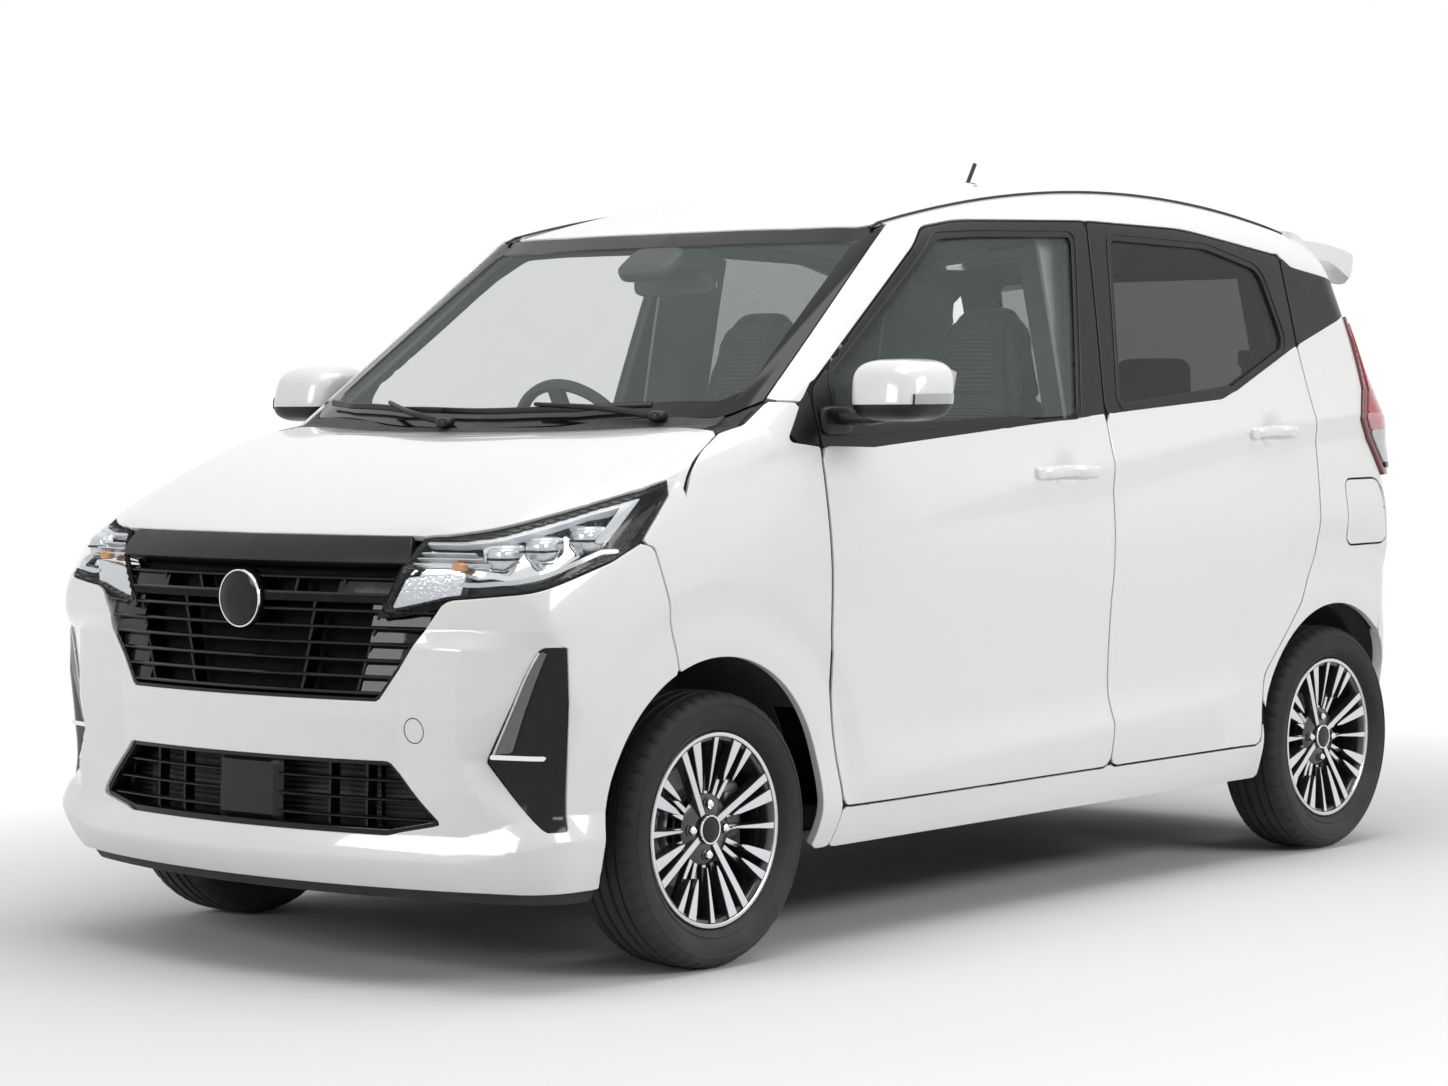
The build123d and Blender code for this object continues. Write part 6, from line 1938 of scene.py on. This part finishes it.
def build_wheels():
    """Tyres, wheels and brakes."""
    for end, x in (("front", FRONT_AXLE), ("rear", REAR_AXLE)):
        centre = (x, WHEEL_Y[end], TYRE_R)
        tyre = Shape().grid(tyre_grid(centre), 0, wrap_u=True, wrap_v=True)
        wheel = wheel_shape(centre)
        brake = brake_shape(centre, end == "front")
        for side in ("left", "right"):
            key = f"wheel_{end[0]}{side[0]}"
            turned = (lambda s: s) if side == "left" else (lambda s: s.mirrored())
            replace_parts(make(f"tyre_{end}_{side}_rubber", turned(tyre), ["tyre"], key, 40),
                        f"tyre_{end}_{side}")
            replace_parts(make(f"wheel_{end}_{side}_alloy", turned(wheel),
                             ["machined", "rim_black", "chrome", "satin_black"], key, 28),
                             f"wheel_{end}_{side}")
            make(f"brake_{end}_{side}", turned(brake), ["disc", "cast_metal"],
                 key if end == "rear" else f"knuckle_{side[0]}", 30)


def build_trim():
    """Mirrors, handles, mouldings, wipers, spoiler and tail lamps."""
    both_sides(mirror_shape(), "mirror_unit", ["paint", "satin_black", "signal_grey", "mirror_glass"],
               ("door_fl", "door_fr"), ("mirror_left", "mirror_right"))
    both_sides(handle_shape(-0.014, -0.236, 0.955), "front_handle", ["paint"], ("door_fl", "door_fr"),
               (None, None))
    both_sides(handle_shape(-0.92, -1.113, 1.032), "rear_handle", ["paint"], ("door_rl", "door_rr"),
               (None, None))
    make("drip_mouldings", drip_shape().both(), ["satin_black"])
    make("wipers", wiper_shape(), ["satin_black"])
    make("roof_spoiler", spoiler_shape(), ["paint"], "tailgate")
    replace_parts(make("tail_lamp_units", tail_lamp_shape().both(),
                     ["dark_red_lens", "red_lens", "pink_lens", "lens_grey", "gloss_black"]), "tail_lamps")


def build_cabin():
    """Padded seats, dash fittings, linings, belts and the inner mirror."""
    build_seats()
    make("cabin_fittings", cabin_shape(), ["dash", "screen", "mirror_glass"])
    make("pillar_linings", trim_shape().both(), ["light_trim"])
    make("belts", belt_shape().both(), ["webbing", "light_trim"])


def finish_frame():
    """Procedural finishes on the fixed parts that stay visible."""
    for node, key in CAD_FINISH.items():
        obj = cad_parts[node]
        obj.data.materials.clear()
        obj.data.materials.append(finish(key))


def build_stage():
    """Camera, lamps, backdrop and floor."""
    add_camera()
    bpy.context.scene.view_settings.view_transform = "Standard"
    levels = settings()
    add_world(levels.daylight)
    add_lamp("overhead", (0.3, 0.8, 4.6), (0.1, 0, 0.6), (5.5, 2.6), levels.overhead)
    add_lamp("side", (-0.6, 6.5, 3.6), (-0.3, 0.3, 0.8), (4.5, 1.6), levels.side)
    add_lamp("front", (6.5, -1.5, 2.6), (1.2, 0, 0.6), (2.4, 2.0), levels.front)
    add_floor()


# Add-on
class CarSettings(bpy.types.PropertyGroup):
    """Colours, sizes and light levels that a user may change."""

    paint: FloatVectorProperty(name="Paint", description="Colour of the painted panels", subtype="COLOR",
                               default=(0.83, 0.83, 0.82), min=0.0, max=1.0)
    cloth: FloatVectorProperty(name="Cloth", description="Colour of the seats", subtype="COLOR",
                               default=(0.17, 0.18, 0.185), min=0.0, max=1.0)
    glass: FloatProperty(name="Glass", description="Opacity of one face of the clear glass", default=0.13,
                         min=0.0, max=1.0, subtype="FACTOR")
    tint: FloatProperty(name="Rear glass", description="Opacity of one face of the dark glass", default=0.50,
                        min=0.0, max=1.0, subtype="FACTOR")
    tread: FloatProperty(name="Tread depth", description="Depth of the grooves in the tyres", default=0.006,
                         min=0.0, max=0.010, unit="LENGTH")
    swell: FloatProperty(name="Cushion swell", description="Furthest that a cushion's cloth moves",
                         default=0.020, min=0.0, max=0.030, unit="LENGTH")
    daylight: FloatProperty(name="Daylight", description="Strength of the light from all round", default=0.32,
                            min=0.0, max=2.0)
    overhead: FloatProperty(name="Overhead lamp", description="Power of the lamp over the car", default=125.0,
                            min=0.0, unit="POWER")
    side: FloatProperty(name="Side lamp", description="Power of the lamp beside the car", default=175.0,
                        min=0.0, unit="POWER")
    front: FloatProperty(name="Front lamp", description="Power of the lamp ahead of the car", default=100.0,
                         min=0.0, unit="POWER")


def settings():
    """The add-on's settings in this scene."""
    return bpy.context.scene.kei_car


class Builder:
    """Shared part of the operators: each runs one build function and reports that it has finished."""

    bl_options = {"REGISTER", "UNDO"}

    def execute(self, context):
        self.build()
        return {"FINISHED"}


class BuildStage(Builder, bpy.types.Operator):
    """Add the camera, the lamps, the backdrop and the floor"""

    bl_idname = "kei_car.stage"
    bl_label = "Stage"
    build = staticmethod(build_stage)


class BuildBody(Builder, bpy.types.Operator):
    """Add the painted panels, the glass, the seals and the painted shade behind the shut lines"""

    bl_idname = "kei_car.body"
    bl_label = "Body"
    build = staticmethod(build_body)


class BuildNose(Builder, bpy.types.Operator):
    """Add the headlamps, the grilles and the lamp pockets"""

    bl_idname = "kei_car.nose"
    bl_label = "Nose"
    build = staticmethod(build_nose)


class BuildWheels(Builder, bpy.types.Operator):
    """Add the tyres, the wheels and the brakes"""

    bl_idname = "kei_car.wheels"
    bl_label = "Wheels"
    build = staticmethod(build_wheels)


class BuildTrim(Builder, bpy.types.Operator):
    """Add the mirrors, handles, mouldings, wipers, spoiler and tail lamps"""

    bl_idname = "kei_car.trim"
    bl_label = "Trim"
    build = staticmethod(build_trim)


class BuildCabin(Builder, bpy.types.Operator):
    """Add the padded seats and the fittings of the cabin"""

    bl_idname = "kei_car.cabin"
    bl_label = "Cabin"
    build = staticmethod(build_cabin)


class FinishFrame(Builder, bpy.types.Operator):
    """Give the fixed parts that stay visible their finishes"""

    bl_idname = "kei_car.finish_frame"
    bl_label = "Fixed parts"
    build = staticmethod(finish_frame)


STEPS = (BuildStage, BuildBody, BuildNose, BuildWheels, BuildTrim, BuildCabin, FinishFrame)


class CarPanel(bpy.types.Panel):
    """Settings and build steps in the sidebar"""

    bl_idname = "VIEW3D_PT_kei_car"
    bl_label = "Kei car"
    bl_space_type = "VIEW_3D"
    bl_region_type = "UI"
    bl_category = "Kei car"

    def draw(self, context):
        column = self.layout.column()
        for name in CarSettings.__annotations__:
            column.prop(context.scene.kei_car, name)
        for step in STEPS:
            column.operator(step.bl_idname)


CLASSES = (CarSettings, *STEPS, CarPanel)


def register():
    """Add the classes and the scene's settings."""
    for cls in CLASSES:
        bpy.utils.register_class(cls)
    bpy.types.Scene.kei_car = PointerProperty(type=CarSettings)


def unregister():
    """Remove the scene's settings and the classes."""
    del bpy.types.Scene.kei_car
    for cls in reversed(CLASSES):
        bpy.utils.unregister_class(cls)


def main():
    """Register the add-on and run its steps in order."""
    register()
    for step in STEPS:
        if getattr(bpy.ops.kei_car, step.bl_idname.split(".")[1])() != {"FINISHED"}:
            raise RuntimeError(f"{step.bl_label} did not finish")


if __name__ == "__main__":
    main()
